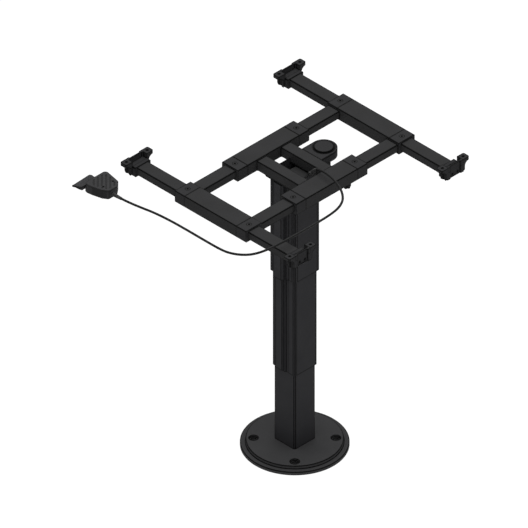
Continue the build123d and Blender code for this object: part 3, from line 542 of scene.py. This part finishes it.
def closed_skin(rings: np.ndarray) -> tuple[np.ndarray, np.ndarray]:
    """Join rings of points into a skin, closed at either end by a fan to the ring's middle.

    Args:
        rings: The points, as an array of rings, points and three coordinates.

    Returns:
        The vertices and the faces.
    """
    rows, columns = rings.shape[:2]
    points = np.concatenate([rings.reshape(-1, 3), rings[[0, -1]].mean(axis=1)])
    spot = np.arange(columns)
    beside = (spot + 1) % columns
    last = (rows - 1) * columns
    pole = np.full(columns, rows * columns)
    caps = (
        np.stack([beside, spot, pole, pole], axis=1),
        np.stack([last + spot, last + beside, pole + 1, pole + 1], axis=1),
    )
    return points, np.concatenate([ring_faces(rows, columns), *caps])


def sweep(path: np.ndarray, radii: np.ndarray, columns: int = 32) -> tuple[np.ndarray, np.ndarray]:
    """Carry a circle of changing radius along a path and close both ends with a flat cap.

    Each ring stands square to the path's direction d. Its first axis is the part of a fixed upright
    vector that is square to d, its second the cross product of the two, and a point is the centre plus
    the radius times cos(a) of one and sin(a) of the other.

    Args:
        path: The points along the centreline.
        radii: The radius at each point.
        columns: The points on each ring.

    Returns:
        The vertices and the faces.
    """
    along = np.gradient(path, axis=0)
    along /= np.linalg.norm(along, axis=1, keepdims=True)
    upright = np.array([0.0, 0.0, 1.0]) - along * along[:, 2:3]
    upright /= np.linalg.norm(upright, axis=1, keepdims=True)
    across = np.cross(along, upright)
    angle = np.arange(columns) / columns * TURN
    rings = (
        path[:, None]
        + radii[:, None, None] * (np.cos(angle)[None, :, None] * across[:, None])
        + radii[:, None, None] * (np.sin(angle)[None, :, None] * upright[:, None])
    )
    return closed_skin(rings)


@dataclass
class Outline:
    """A rectangle with round corners, as the shares of its sizes at each of its points.

    With half sizes w and h and a corner radius r, a point is (across (w - r) + r cos a,
    up (h - r) + r sin a). Along a side one share runs from one end to the other while the angle a
    stays, and round a corner only the angle turns.

    Attributes:
        side: The points along each of the wide sides.
        end: The points along each of the high sides.
        corner: The points round each corner.
    """

    side: int = 24
    end: int = 12
    corner: int = 6

    def __post_init__(self) -> None:
        """Work out the shares and angles of all the points."""
        falling = {count: np.linspace(1, -1, count, endpoint=False) for count in (self.side, self.end)}
        turning = np.linspace(0, TURN / 4, self.corner, endpoint=False)
        still = np.ones(self.corner)
        across, up, angle = [], [], []
        for quarter, (mark_x, mark_y) in enumerate(((1, 1), (-1, 1), (-1, -1), (1, -1))):
            count = self.end if quarter % 2 else self.side
            slide = falling[count]
            run_x, run_y = (slide * mark_x, mark_y) if quarter % 2 == 0 else (mark_x, slide * mark_y)
            across += [mark_x * still, run_x * np.ones(count)]
            up += [mark_y * still, run_y * np.ones(count)]
            angle += [turning + quarter * TURN / 4, np.full(count, (quarter + 1) * TURN / 4)]
        self.across, self.up, self.angle = (np.concatenate(rows) for rows in (across, up, angle))

    def place(self, half_width: np.ndarray, half_height: np.ndarray, radius: np.ndarray) -> np.ndarray:
        """Give the points of one outline for each row of sizes.

        Args:
            half_width: Half the width, one value to a row.
            half_height: Half the height, one value to a row.
            radius: The corner radius, one value to a row.

        Returns:
            The points across and up, as an array of rows, points and two coordinates.
        """
        sizes = (half_width, half_height, radius)
        width, height, round_off = (np.atleast_1d(size)[:, None] for size in sizes)
        across = self.across * (width - round_off) + round_off * np.cos(self.angle)
        up = self.up * (height - round_off) + round_off * np.sin(self.angle)
        return np.stack([across, up], axis=-1)


@dataclass
class Structure:
    """The solids that need only their finish.

    Attributes:
        groups: Each finish with the solids that get it.
    """

    groups: tuple[tuple[Finish, tuple[str, ...]], ...] = (
        # The floor flange and the stand tube take the lightened coat, whose lighter colour is painted light
        # against the frame's shadow.
        (FLANGE_COAT_PAINTED_LIGHT, ("base_flange", "stand_tube")),
        (POWDER_COAT, ("front_crossbar", "rear_crossbar", "front_sleeve", "rear_sleeve")),
        (POWDER_COAT, ("left_sleeve", "right_sleeve", *at_corners("rail"), *at_corners("arm"))),
        (POWDER_COAT, ("belt_case", "belt_cover")),
        (ANODISED, ("lower_tube", "middle_tube", "top_tube")),
        (CAST_PAINT, (*at_corners("bracket"), "bearing_plate", "screw_carrier")),
        (MOTOR_PAINT, ("motor_case", "motor_lid")),
        (GUIDE_NYLON, ("central_guides", "front_guides", "rear_guides")),
        (ACETAL, ("lower_glides", "middle_glides", "screw_pulley", "motor_pulley")),
        (SWITCH_ABS, ("switch_housing", "switch_lid", "switch_contacts")),
        (BLACK_OXIDE, ("base_screws", "central_clamp_screws", "front_clamp_screws", "rear_clamp_screws")),
        (BLACK_OXIDE, ("bearing_retainer", "paddle_pin")),
        (TURNED_STEEL, ("hollow_screw", "drive_screw", "motor_rotor")),
        (TURNED_STEEL, ("carrier_bearing", "head_bearing")),
        (BRONZE, ("lower_nut", "upper_nut")),
        (COPPER, ("motor_stator",)),
        (BELT_RUBBER, ("drive_belt", "cable_glands")),
        (JACKET_PVC, ("cable",)),
    )

    def dress(self) -> None:
        """Give every solid its finish, and report each group."""
        for finish, names in self.groups:
            for name in names:
                finish.dress(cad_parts[name])
            LOG.info("%s on %s", finish.slot, ", ".join(names))


@dataclass
class ControlCable:
    """The cable from the column's head to the hand switch, with a tapered boot at each end.

    Attributes:
        diameter_mm: The jacket's diameter.
        length_mm: The real length between its two glands, all of which shows.
        route_mm: The points that it is laid by, from the head to the switch.
        boot_length_mm: The length of a boot along the cable.
        boot_radius_mm: The boot's radius at the gland.
        boot_tip_mm: How far the boot's tip stands out from the jacket.
        boot_ribs: The number of ribs on a boot.
        boot_rib_mm: The height of a rib.
    """

    diameter_mm: float = 5.5
    length_mm: float = 870.0
    boot_length_mm: float = 26.0
    boot_radius_mm: float = 4.5
    boot_tip_mm: float = 0.45
    boot_ribs: int = 6
    boot_rib_mm: float = 0.35
    route_mm: tuple[tuple[float, float, float], ...] = (
        (42.5, 12, 741.5), (51, 10, 753.5), (63, 8, 762.5), (84, 5, 768.5),
        (110, 2, 769), (138, -6, 768.5), (166, -20, 768), (190, -40, 768),
        (204, -66, 768), (210, -98, 768), (211.5, -150, 768), (211, -205, 768),
        (209, -255, 768), (206, -297, 768), (195, -327, 767), (174, -345, 765),
        (146, -353, 761), (114, -350, 755), (60, -343, 748), (0, -337.5, 743),
        (-47, -335.5, 740.5), (-94, -339, 740.5), (-123, -346.5, 742), (-150, -354.5, 745),
        (-177, -360.5, 748), (-202, -360.5, 748),
    )

    def curve(self) -> bpy.types.Object:
        """Make the centreline: a smooth NURBS line with the route's points as its control points.

        Returns:
            The curve, as thin as a line so far.
        """
        data = bpy.data.curves.new("cable_line", "CURVE")
        data.dimensions = "3D"
        data.resolution_u = 10
        spline = data.splines.new("NURBS")
        spline.points.add(len(self.route_mm) - 1)
        for point, place in zip(spline.points, self.route_mm):
            point.co = (*(metres(value) for value in place), 1.0)
        spline.order_u = 3
        spline.use_endpoint_u = True
        return add_object("hand_switch_cable", data)

    def boot(self, name: str, path: np.ndarray) -> bpy.types.Object:
        """Make a boot round the start of a path.

        Its radius falls evenly from the gland to the tip, and each rib adds the square of a sine.

        Args:
            name: The piece's name.
            path: The cable's centreline from the gland on.

        Returns:
            The boot.
        """
        steps = np.linalg.norm(np.diff(path, axis=0), axis=1)
        travelled = np.concatenate([[0.0], np.cumsum(steps)])
        steps_to_a_rib = 12
        share = np.linspace(0, 1, self.boot_ribs * steps_to_a_rib + 1)
        spots = share * metres(self.boot_length_mm)
        line = np.stack([np.interp(spots, travelled, path[:, axis]) for axis in range(3)], axis=1)
        tip = metres(self.diameter_mm / 2 + self.boot_tip_mm)
        radii = metres(self.boot_radius_mm) * (1 - share) + tip * share
        radii += metres(self.boot_rib_mm) * np.sin(share * self.boot_ribs * math.pi) ** 2
        return make_piece(name, *sweep(line, radii), BELT_RUBBER, Body.HEAD)

    def build(self) -> None:
        line = self.curve()
        bare = bpy.data.meshes.new_from_object(line)
        path = np.zeros(len(bare.vertices) * 3)
        bare.vertices.foreach_get("co", path)
        path = path.reshape(-1, 3)
        bpy.data.meshes.remove(bare)
        line.data.bevel_depth = metres(self.diameter_mm / 2)
        line.data.bevel_resolution = 5
        line.data.use_fill_caps = True
        JACKET_PVC.dress(line)
        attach(line, Body.HEAD.value)
        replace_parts(line, "cable")
        boots = [self.boot("head_boot", path), self.boot("switch_boot", path[::-1])]
        tuple(metres(value) for value in self.route_mm[0])
        metres(self.length_mm)
        metres(self.diameter_mm)


@dataclass
class Paddle:
    """The rocking paddle of the hand switch: a ribbed wedge on a hub, with a tail between the contacts.

    Attributes:
        stations_mm: Places across the paddle, from its pin outwards, as distances from the pin.
        rear_mm: The rear edge's distance from the pin's middle at each station.
        front_mm: The front edge's distance from the pin's middle at each station.
        below_mm: The depth below the pin's height at each station.
        above_mm: The height above the pin at each station.
        tip_thin_mm: How much thinner each side is at the outer front tip.
        corner_mm: The radius along the edges.
        rib_pitch_mm: The distance between ribs across the grip.
        rib_depth_mm: The depth between ribs.
        fade_share: The share of the grip's width over which the grooves fade out at either side.
        fade_left: How much of their depth they keep at the outer edge.
        bore_mm: The radius of the hole for the pin.
        hub_edge_mm: The bevel along the hub's edges.
        tail_root_share: How far from the pin the tail starts, as a share of the hub's radius.
        tail_mm: The tail's length, width and thickness.
    """

    stations_mm: tuple[float, ...] = (0.0, 6.4, 6.6, 13.0, 24.0, 28.4, 29.4)
    rear_mm: tuple[float, ...] = (17.5, 17.5, 17.5, 18.4, 19.4, 17.0, 16.0)
    front_mm: tuple[float, ...] = (17.5, 17.5, 29.5, 32.5, 36.2, 37.1, 36.5)
    below_mm: tuple[float, ...] = (4.0, 4.0, 5.6, 5.2, 3.8, 3.0, 2.2)
    above_mm: tuple[float, ...] = (4.0, 4.0, 4.0, 4.0, 4.0, 3.6, 2.8)
    tip_thin_mm: float = 2.8
    corner_mm: float = 1.1
    rib_pitch_mm: float = 5.2
    rib_depth_mm: float = 0.7
    fade_share: float = 0.125
    fade_left: float = 0.2
    bore_mm: float = 2.05
    hub_edge_mm: float = 0.4
    tail_root_share: float = 0.8
    tail_mm: tuple[float, float, float] = (8.0, 20.0, 5.0)

    def grip(self, pin: np.ndarray) -> bpy.types.Object:
        """Make the wedge and its neck, a rounded section carried outwards from the pin.

        The section at x spans the front and rear edges and the heights above and below. The share t runs
        from 0 at its rear edge to 1 at its front one, and the share s from 0 at the wall to 1 at the outer
        edge. Both skins come nearer by the thinning times s t, and on the upper one a groove goes down by
        its depth times the fourth power of cos(pi (y - x) / pitch), where y runs from front to rear.

        Args:
            pin: The middle of the pin in metres.

        Returns:
            The grip.
        """
        inner = np.linspace(0.0, self.stations_mm[1], 5)
        outer = np.linspace(self.stations_mm[2], self.stations_mm[-2], 46)
        rim = np.linspace(self.stations_mm[-2], self.stations_mm[-1], 5)[1:]
        reach = np.concatenate([inner, outer, rim])
        rear, front, below, above = (
            np.interp(reach, self.stations_mm, row)
            for row in (self.rear_mm, self.front_mm, self.below_mm, self.above_mm)
        )
        section = Outline(side=130, end=6, corner=5).place(
            (rear + front) / 2, (above + below) / 2, np.full(len(reach), self.corner_mm)
        )
        along = section[..., 0] + ((rear - front) / 2)[:, None]
        height = section[..., 1] + ((above - below) / 2)[:, None]
        outwards = (reach - self.stations_mm[2]) / (self.stations_mm[-2] - self.stations_mm[2])
        thinning = np.clip(outwards, 0, 1)[:, None] * (rear[:, None] - along) / (rear + front)[:, None]
        height -= np.sign(height) * self.tip_thin_mm * thinning
        wave = np.cos(math.pi * (along - reach[:, None]) / self.rib_pitch_mm) ** 4
        fade = np.clip(outwards / self.fade_share, 0, 1)
        fade = fade * np.clip((1.0 - outwards) / self.fade_share + self.fade_left, 0, 1)
        top = np.clip(height / above[:, None] * 4 - 2, 0, 1)
        height -= self.rib_depth_mm * wave * fade[:, None] * top
        places = np.stack([np.broadcast_to(-reach[:, None], along.shape), along, height], axis=-1)
        return make_piece("paddle_grip", *closed_skin(pin + metres(places)), PADDLE_ABS, Body.PADDLE, 40.0)

    def hub(self, pin: np.ndarray) -> bpy.types.Object:
        """Make the hub, a short tube along the pin: its section goes out, round and back by the bore.

        Args:
            pin: The middle of the pin in metres.

        Returns:
            The hub.
        """
        half, radius, edge = self.rear_mm[0], self.above_mm[0], self.hub_edge_mm
        section = np.array(
            [
                (self.bore_mm, -half + edge),
                (self.bore_mm + edge, -half),
                (radius - edge, -half),
                (radius, -half + edge),
                (radius, half - edge),
                (radius - edge, half),
                (self.bore_mm + edge, half),
                (self.bore_mm, half - edge),
            ]
        )
        columns = 64
        angle = np.arange(columns) / columns * TURN
        spokes = np.stack([np.cos(angle), np.zeros(columns), np.sin(angle)], axis=1)
        points = section[:, None, :1] * spokes + section[:, None, 1:] * np.array([0.0, 1.0, 0.0])
        faces = ring_faces(len(section), columns, closed=True)
        return make_piece("paddle_hub", pin + metres(points.reshape(-1, 3)), faces, PADDLE_ABS, Body.PADDLE)

    def tail(self, pin: np.ndarray) -> bpy.types.Object:
        """Make the tail, a rounded tongue that reaches inwards from the hub between the contacts.

        Its section narrows over the last part of its length by 1 - sqrt(1 - s^2) times the corner radius.

        Args:
            pin: The middle of the pin in metres.

        Returns:
            The tail.
        """
        length, width, thickness = self.tail_mm
        start = self.above_mm[0] * self.tail_root_share
        reach = np.concatenate([[start], np.linspace(length - self.corner_mm, length, 7)])
        share = np.clip((reach - length + self.corner_mm) / self.corner_mm, 0, 1)
        pulled = self.corner_mm * (1 - np.sqrt(1 - share**2))
        section = Outline(side=6, end=3, corner=5).place(
            width / 2 - pulled, thickness / 2 - pulled, np.full(len(reach), self.corner_mm)
        )
        reaches = np.broadcast_to(reach[:, None], section.shape[:2])
        places = np.stack([reaches, section[..., 0], section[..., 1]], axis=-1)
        return make_piece("paddle_tail", *closed_skin(pin + metres(places)), PADDLE_ABS, Body.PADDLE, 40.0)

    def build(self) -> None:
        """Make the paddle's three forms round its pin."""
        pin = np.mean(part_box("paddle_pin"), axis=0)
        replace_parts(self.grip(pin), "paddle")
        self.hub(pin)
        self.tail(pin)


@dataclass
class LockKnob:
    """The lobed knob under the right sleeve, with the hub and the stud that it turns on.

    Attributes:
        grip_height_mm: The height of the lobed grip.
        grip_radius_mm: Its radius at the crown of a lobe.
        valley_mm: How far a valley lies inside the crowns.
        lobes: The number of lobes.
        rim_mm: The radius of the rounding along its rims.
        hub_radius_mm: The hub's radius.
        hub_gap_mm: The space between the hub and the sleeve.
        hub_edge_mm: The bevel at the hub's upper edge.
        stud_radius_mm: The stud's radius.
        stud_edge_mm: The bevel at the stud's end.
        step_mm: How far above the grip the hub's wall starts.
    """

    grip_height_mm: float = 17.0
    grip_radius_mm: float = 10.4
    valley_mm: float = 2.0
    lobes: int = 6
    rim_mm: float = 2.2
    hub_radius_mm: float = 7.0
    hub_gap_mm: float = 0.3
    hub_edge_mm: float = 0.6
    stud_radius_mm: float = 3.0
    stud_edge_mm: float = 0.5
    step_mm: float = 0.02

    def build(self) -> None:
        """Make the knob: rings up its axis, whose radius is r - v (1 - cos(n a)) / 2 on the grip.

        The rounding of a rim takes rim (1 - sqrt(1 - s^2)) off the radius, where s runs from 0 to 1
        towards the rim's edge.
        """
        low, high = box_mm("lock_knob")
        hub_top = box_mm("right_sleeve")[0][2] - self.hub_gap_mm
        grip_top = low[2] + self.grip_height_mm
        share = np.linspace(1, 0, 9)
        pulled = self.rim_mm * (1 - np.sqrt(1 - share**2))
        rim_heights = low[2] + self.rim_mm * (1 - share)
        plain = np.array(
            [
                (self.hub_radius_mm, grip_top + self.step_mm),
                (self.hub_radius_mm, hub_top - self.hub_edge_mm),
                (self.hub_radius_mm - self.hub_edge_mm, hub_top),
                (self.stud_radius_mm, hub_top),
                (self.stud_radius_mm, high[2] - self.stud_edge_mm),
                (self.stud_radius_mm - self.stud_edge_mm, high[2]),
            ]
        )
        upper_rim = (low[2] + grip_top - rim_heights)[::-1]
        heights = np.concatenate([rim_heights, upper_rim, plain[:, 1]])
        rim = self.grip_radius_mm - pulled
        radii = np.concatenate([rim, rim[::-1], plain[:, 0]])
        lobed = np.concatenate([np.ones(2 * len(share)), np.zeros(len(plain))])
        columns = 180
        angle = np.arange(columns) / columns * TURN
        wave = self.valley_mm * (1 - np.cos(self.lobes * angle)) / 2
        radius = radii[:, None] - lobed[:, None] * wave[None, :]
        middle = (low + high) / 2
        rings = np.stack(
            [
                middle[0] + radius * np.cos(angle),
                middle[1] + radius * np.sin(angle),
                np.broadcast_to(heights[:, None], radius.shape),
            ],
            axis=-1,
        )
        knob = make_piece("lock_knob_grip", *closed_skin(metres(rings)), GUIDE_NYLON, Body.KNOB)
        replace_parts(knob, "lock_knob")


@dataclass
class Welds:
    """The weld beads round the ends of the crossbars and of the rails.

    Attributes:
        bead_mm: The bead's radius.
        sink_mm: How deep its middle line lies in the corner.
        ripple_mm: The distance from one ripple to the next.
        ripple_share: The height of a ripple as a share of the radius.
        corner_mm: The radius of the tube's corners.
        saddle_mm: The thickness of a crossbar's saddle plate, which its box takes in.
    """

    bead_mm: float = 2.0
    sink_mm: float = 0.3
    ripple_mm: float = 1.6
    ripple_share: float = 0.16
    corner_mm: float = 2.0
    saddle_mm: float = 4.0

    def bead(self, name: str, centre: np.ndarray, half: tuple[float, float], axis: int, body: Body) -> None:
        """Make the bead round a tube where its end meets a flat wall.

        A circle is carried round the tube's rounded rectangle. Its radius is b (1 + k |sin(pi l / p)|),
        where l is the length travelled, so that the ripples overlap like scales.

        Args:
            name: The bead's name.
            centre: The middle of the joint in millimetres.
            half: Half the tube's width and half its height in millimetres.
            axis: The tube's axis, 0 for X and 1 for Y.
            body: The body that it moves with.
        """
        outline = Outline(side=60, end=44, corner=10)
        sunk = (np.array([size - self.sink_mm]) for size in half)
        loop = outline.place(*sunk, np.array([self.corner_mm]))[0]
        steps = np.linalg.norm(loop - np.roll(loop, 1, axis=0), axis=1)
        travelled = np.cumsum(steps)
        ripples = round(travelled[-1] / self.ripple_mm)
        ripple = np.abs(np.sin(math.pi * ripples * travelled / travelled[-1]))
        radius = self.bead_mm * (1 - self.ripple_share + self.ripple_share * ripple)
        columns = 12
        turn = np.arange(columns) / columns * TURN
        aside = radius[:, None] * np.cos(turn)
        across = loop[:, None, 0] + aside * np.cos(outline.angle)[:, None]
        up = loop[:, None, 1] + aside * np.sin(outline.angle)[:, None]
        along = radius[:, None] * np.sin(turn)
        places = np.stack([along, across, up] if axis == 0 else [across, along, up], axis=-1)
        points = metres(centre + places.reshape(-1, 3))
        make_piece(name, points, ring_faces(len(loop), columns, closed=True), POWDER_COAT, body)

    def build(self) -> None:
        """Make a bead at both ends of each crossbar, and one at the outer end of each rail."""
        for end in ENDS:
            body = Body.FRONT if end == "front" else Body.REAR
            low, high = box_mm(f"{end}_crossbar")
            half = ((high[1] - low[1]) / 2, (high[2] - low[2] - self.saddle_mm) / 2)
            middle = (low + high) / 2 + (0, 0, self.saddle_mm / 2)
            for side, wall in zip(SIDES, (low[0], high[0])):
                centre = np.array([wall, middle[1], middle[2]])
                self.bead(f"{end}_{side}_crossbar_weld", centre, half, 0, Body.HEAD)
            for side in SIDES:
                low_rail, high_rail = box_mm(f"{end}_{side}_rail")
                half_rail = ((high_rail[0] - low_rail[0]) / 2, (high_rail[2] - low_rail[2]) / 2)
                rail = (low_rail + high_rail) / 2
                rail[1] = low_rail[1] if end == "front" else high_rail[1]
                self.bead(f"{end}_{side}_rail_weld", rail, half_rail, 1, body)


@dataclass
class BracketWalls:
    """The walls that close the brackets' outboard side from ear to ear, each with its shallow recess.

    Attributes:
        wall_mm: The wall's thickness.
        notch_mm: Half the space between the ears.
        corner_mm: The radius where the wall meets an ear.
        overlap_mm: How far the wall reaches into the ears.
        recess_mm: The recess's depth.
        recess_half_mm: Half the recess's width.
        slope_mm: How wide the slope at the recess's upright edges is.
        floor_mm: The height of the recess's lower edge over the bracket's foot.
        under_mm: How far the wall stays under the casting's own faces.
        dimple_mm: The radius of each dimple in the recess.
        dimple_share: A dimple's depth as a share of its radius.
        dimple_side_mm: The distance of a dimple from the middle.
        socket_drop_mm: The depth of the dimples' line below the bracket's top.
    """

    wall_mm: float = 6.0
    notch_mm: float = 22.0
    corner_mm: float = 6.0
    overlap_mm: float = 3.0
    recess_mm: float = 2.5
    recess_half_mm: float = 15.5
    slope_mm: float = 0.8
    floor_mm: float = 4.2
    under_mm: float = 0.05
    dimple_mm: float = 2.5
    dimple_share: float = 0.7
    dimple_side_mm: float = 8.0
    socket_drop_mm: float = 24.0

    def wall(self, end: str, side: str, body: Body) -> None:
        """Make one wall, an upright section carried from ear to ear.

        At a distance v from the middle the outer face lies back by the recess times a steep ramp at its
        edge, and by a share of the square root of r^2 - d^2 over each dimple, where d is the distance from
        its middle. The inner face curves towards the arm by c - sqrt(c^2 - s^2), where s is how far v is into
        the corner.

        Args:
            end: The bracket's end of the frame.
            side: Its side.
            body: The arm that it moves with.
        """
        low, high = box_mm(f"{end}_{side}_bracket")
        sign = 1 if side == "right" else -1
        face = high[0] if side == "right" else -low[0]
        middle = (low[1] + high[1]) / 2
        half = self.notch_mm + self.overlap_mm
        spots = np.linspace(-half, half, 121)
        heights = np.linspace(low[2] + self.floor_mm, high[2] - self.under_mm, 61)
        ramp = np.clip((self.recess_half_mm + self.slope_mm / 2 - np.abs(spots)) / self.slope_mm, 0, 1)
        level = high[2] - self.socket_drop_mm
        aside = np.abs(np.abs(spots)[:, None] - self.dimple_side_mm)
        bowl = np.sqrt(np.clip(self.dimple_mm**2 - aside**2 - (heights[None, :] - level) ** 2, 0, None))
        outer = face - self.under_mm - self.recess_mm * ramp[:, None] - self.dimple_share * bowl
        into = np.clip(np.abs(spots) - self.notch_mm + self.corner_mm, 0, self.corner_mm)
        inner = face - self.wall_mm - self.corner_mm + np.sqrt(self.corner_mm**2 - into**2)
        inner = np.broadcast_to(inner[:, None], outer.shape)
        reach = sign * np.concatenate([outer, inner[:, ::-1]], axis=1)
        rise = np.concatenate([heights, heights[::-1]])
        places = np.stack(np.broadcast_arrays(reach, middle + spots[:, None], rise[None, :]), axis=-1)
        make_piece(f"{end}_{side}_bracket_wall", *closed_skin(metres(places)), CAST_PAINT, body)

    def build(self) -> None:
        """Make the walls of all four brackets."""
        for end in ENDS:
            for side in SIDES:
                self.wall(end, side, Body[f"{end}_{side}".upper()])


@dataclass
class ColumnCorners:
    """The four corners of one tube of the column, fuller than the solid's, as the drawing shows them.

    Attributes:
        tube: The tube's piece name.
        body: The body that it moves with.
        soft_mm: The solid's corner radius.
        crisp_mm: The radius that comes nearest to the drawing's outline.
        top_mm: How far below its top they end.
        sink_mm: How far the inner side lies within the tube's wall.
    """

    tube: str
    body: Body
    soft_mm: float
    crisp_mm: float
    top_mm: float = 0.0
    sink_mm: float = 0.8

    def build(self) -> None:
        """Make the corners: each section runs round the crisp arc and back by the soft one."""
        low, high = box_mm(self.tube)
        half = high[0]
        turn = np.linspace(0, TURN / 4, 13)
        around = np.stack([np.cos(turn), np.sin(turn)], axis=1)
        crisp = half - self.crisp_mm + self.crisp_mm * around
        soft = half - self.soft_mm + (self.soft_mm - self.sink_mm) * around
        ends = np.array([(half, half - self.soft_mm), (half - self.soft_mm, half)])
        section = np.concatenate([ends[:1], crisp, ends[1:], soft[::-1]])
        heights = (low[2], high[2] - self.top_mm)
        for across, name in zip((-1, 1), SIDES):
            for along, end in zip((-1, 1), ENDS):
                flat = section * np.array([across, along])
                rings = np.stack([np.column_stack([flat, np.full(len(flat), z)]) for z in heights])
                points, faces = closed_skin(metres(rings))
                make_piece(f"{self.tube}_{end}_{name}_corner", points, faces, ANODISED, self.body)


@dataclass(frozen=True)
class Lamp:
    """A square soft lamp.

    Attributes:
        name: The lamp's name.
        place: Where it hangs.
        size: The side of its square.
        power: Its power in watts.
    """

    name: str
    place: tuple[float, float, float]
    size: float
    power: float

    def hang(self, target: Vector) -> None:
        """Hang the lamp so that it faces a point.

        Args:
            target: The point.
        """
        data = bpy.data.lights.new(self.name, "AREA")
        data.shape = "SQUARE"
        data.size = self.size
        data.energy = self.power
        lamp = add_object(self.name, data)
        lamp.location = self.place
        lamp.rotation_mode = "QUATERNION"
        lamp.rotation_quaternion = (target - Vector(self.place)).to_track_quat("-Z", "Y")


@dataclass
class Studio:
    """The floor, the lamps and the camera.

    Attributes:
        floor_size: The side of the square floor.
        target: The point at the middle of the picture.
        distance: How far back the camera stands.
        frame_width: The width that the picture takes in.
        room_light: The strength of the room's even light.
        glow: The strength of the floor's white as the camera sees it.
        glow_share: How much of that white covers the shadow.
        lamps: The soft lamps.
    """

    floor_size: float = 14.0
    target: tuple[float, float, float] = (-0.1286, 0.0336, 0.400)
    distance: float = 3.0
    frame_width: float = 1.1543
    room_light: float = 0.35
    glow: float = 1.15
    glow_share: float = 0.8
    lamps: tuple[Lamp, ...] = (
        Lamp("top_softbox", (0.0, 0.0, 3.2), 3.2, 80.0),
        Lamp("front_softbox", (1.8, -1.6, 1.2), 1.8, 7.0),
    )

    def seen(self, tree: bpy.types.NodeTree) -> bpy.types.NodeSocket:
        """Give 1 to the rays that show a surface: straight to the camera, mirrored or through glass.

        Args:
            tree: The material's or the world's node tree.

        Returns:
            The socket that carries it.
        """
        ray = add_node(tree, "ShaderNodeLightPath").outputs
        mirrored = add_node(
            tree,
            "ShaderNodeMath",
            {0: ray["Is Glossy Ray"], 1: ray["Is Transmission Ray"]},
            operation="MAXIMUM",
        )
        found = add_node(
            tree,
            "ShaderNodeMath",
            {0: ray["Is Camera Ray"], 1: mirrored.outputs["Value"]},
            operation="MAXIMUM",
        )
        return found.outputs["Value"]

    def floor(self) -> None:
        """Lay the floor: white to the camera, and matt white to the light, so that it keeps a shadow."""
        half = self.floor_size / 2
        corners = np.array([(-half, -half, 0), (half, -half, 0), (half, half, 0), (-half, half, 0)])
        mesh = bpy.data.meshes.new("studio_floor")
        mesh.from_pydata(corners.tolist(), [], [(0, 1, 2, 3)])
        floor = add_object("studio_floor", mesh)
        made = bpy.data.materials.new("studio_paper")
        tree = empty_tree(made)
        paper = add_node(tree, "ShaderNodeBsdfDiffuse", {"Color": linear("#ececec")})
        glow = add_node(tree, "ShaderNodeEmission", {"Color": linear("#ffffff"), "Strength": self.glow})
        seen = self.seen(tree)
        share = add_node(tree, "ShaderNodeMath", {0: seen, 1: self.glow_share}, operation="MULTIPLY")
        mixed = add_node(
            tree,
            "ShaderNodeMixShader",
            {0: share.outputs["Value"], 1: paper.outputs["BSDF"], 2: glow.outputs["Emission"]},
        )
        add_node(tree, "ShaderNodeOutputMaterial", {"Surface": mixed.outputs["Shader"]})
        floor.data.materials.append(made)

    def world(self) -> None:
        """Light the room evenly, and show it white to the camera."""
        world = bpy.data.worlds.new("studio_room")
        bpy.context.scene.world = world
        tree = empty_tree(world)
        strength = add_node(
            tree,
            "ShaderNodeMapRange",
            {"Value": self.seen(tree), "To Min": self.room_light, "To Max": 1.0},
        )
        room = add_node(
            tree,
            "ShaderNodeBackground",
            {"Color": linear("#ffffff"), "Strength": strength.outputs["Result"]},
        )
        add_node(tree, "ShaderNodeOutputWorld", {"Surface": room.outputs["Background"]})

    def camera(self) -> None:
        """Set up the camera along the drawing's true isometric direction, without perspective."""
        back = Vector((1, -1, 1)).normalized()
        data = bpy.data.cameras.new("drawing_camera")
        data.type = "ORTHO"
        data.ortho_scale = self.frame_width
        camera = add_object("drawing_camera", data)
        camera.location = Vector(self.target) + back * self.distance
        camera.rotation_mode = "QUATERNION"
        camera.rotation_quaternion = (-back).to_track_quat("-Z", "Y")
        bpy.context.scene.camera = camera

    def build(self) -> None:
        """Set up the whole studio."""
        self.camera()
        self.floor()
        self.world()
        for lamp in self.lamps:
            lamp.hang(Vector(self.target))
        bpy.context.scene.view_settings.view_transform = "Standard"


def main() -> None:
    """Build every piece and the studio."""
    logging.basicConfig(level=logging.INFO, format="%(message)s")
    Studio().build()
    Structure().dress()
    ControlCable().build()
    Paddle().build()
    LockKnob().build()
    Welds().build()
    BracketWalls().build()
    ColumnCorners("top_tube", Body.HEAD, soft_mm=10.0, crisp_mm=4.5, top_mm=14.0).build()
    ColumnCorners("middle_tube", Body.MIDDLE, soft_mm=7.0, crisp_mm=4.0).build()


if __name__ == "__main__":
    main()
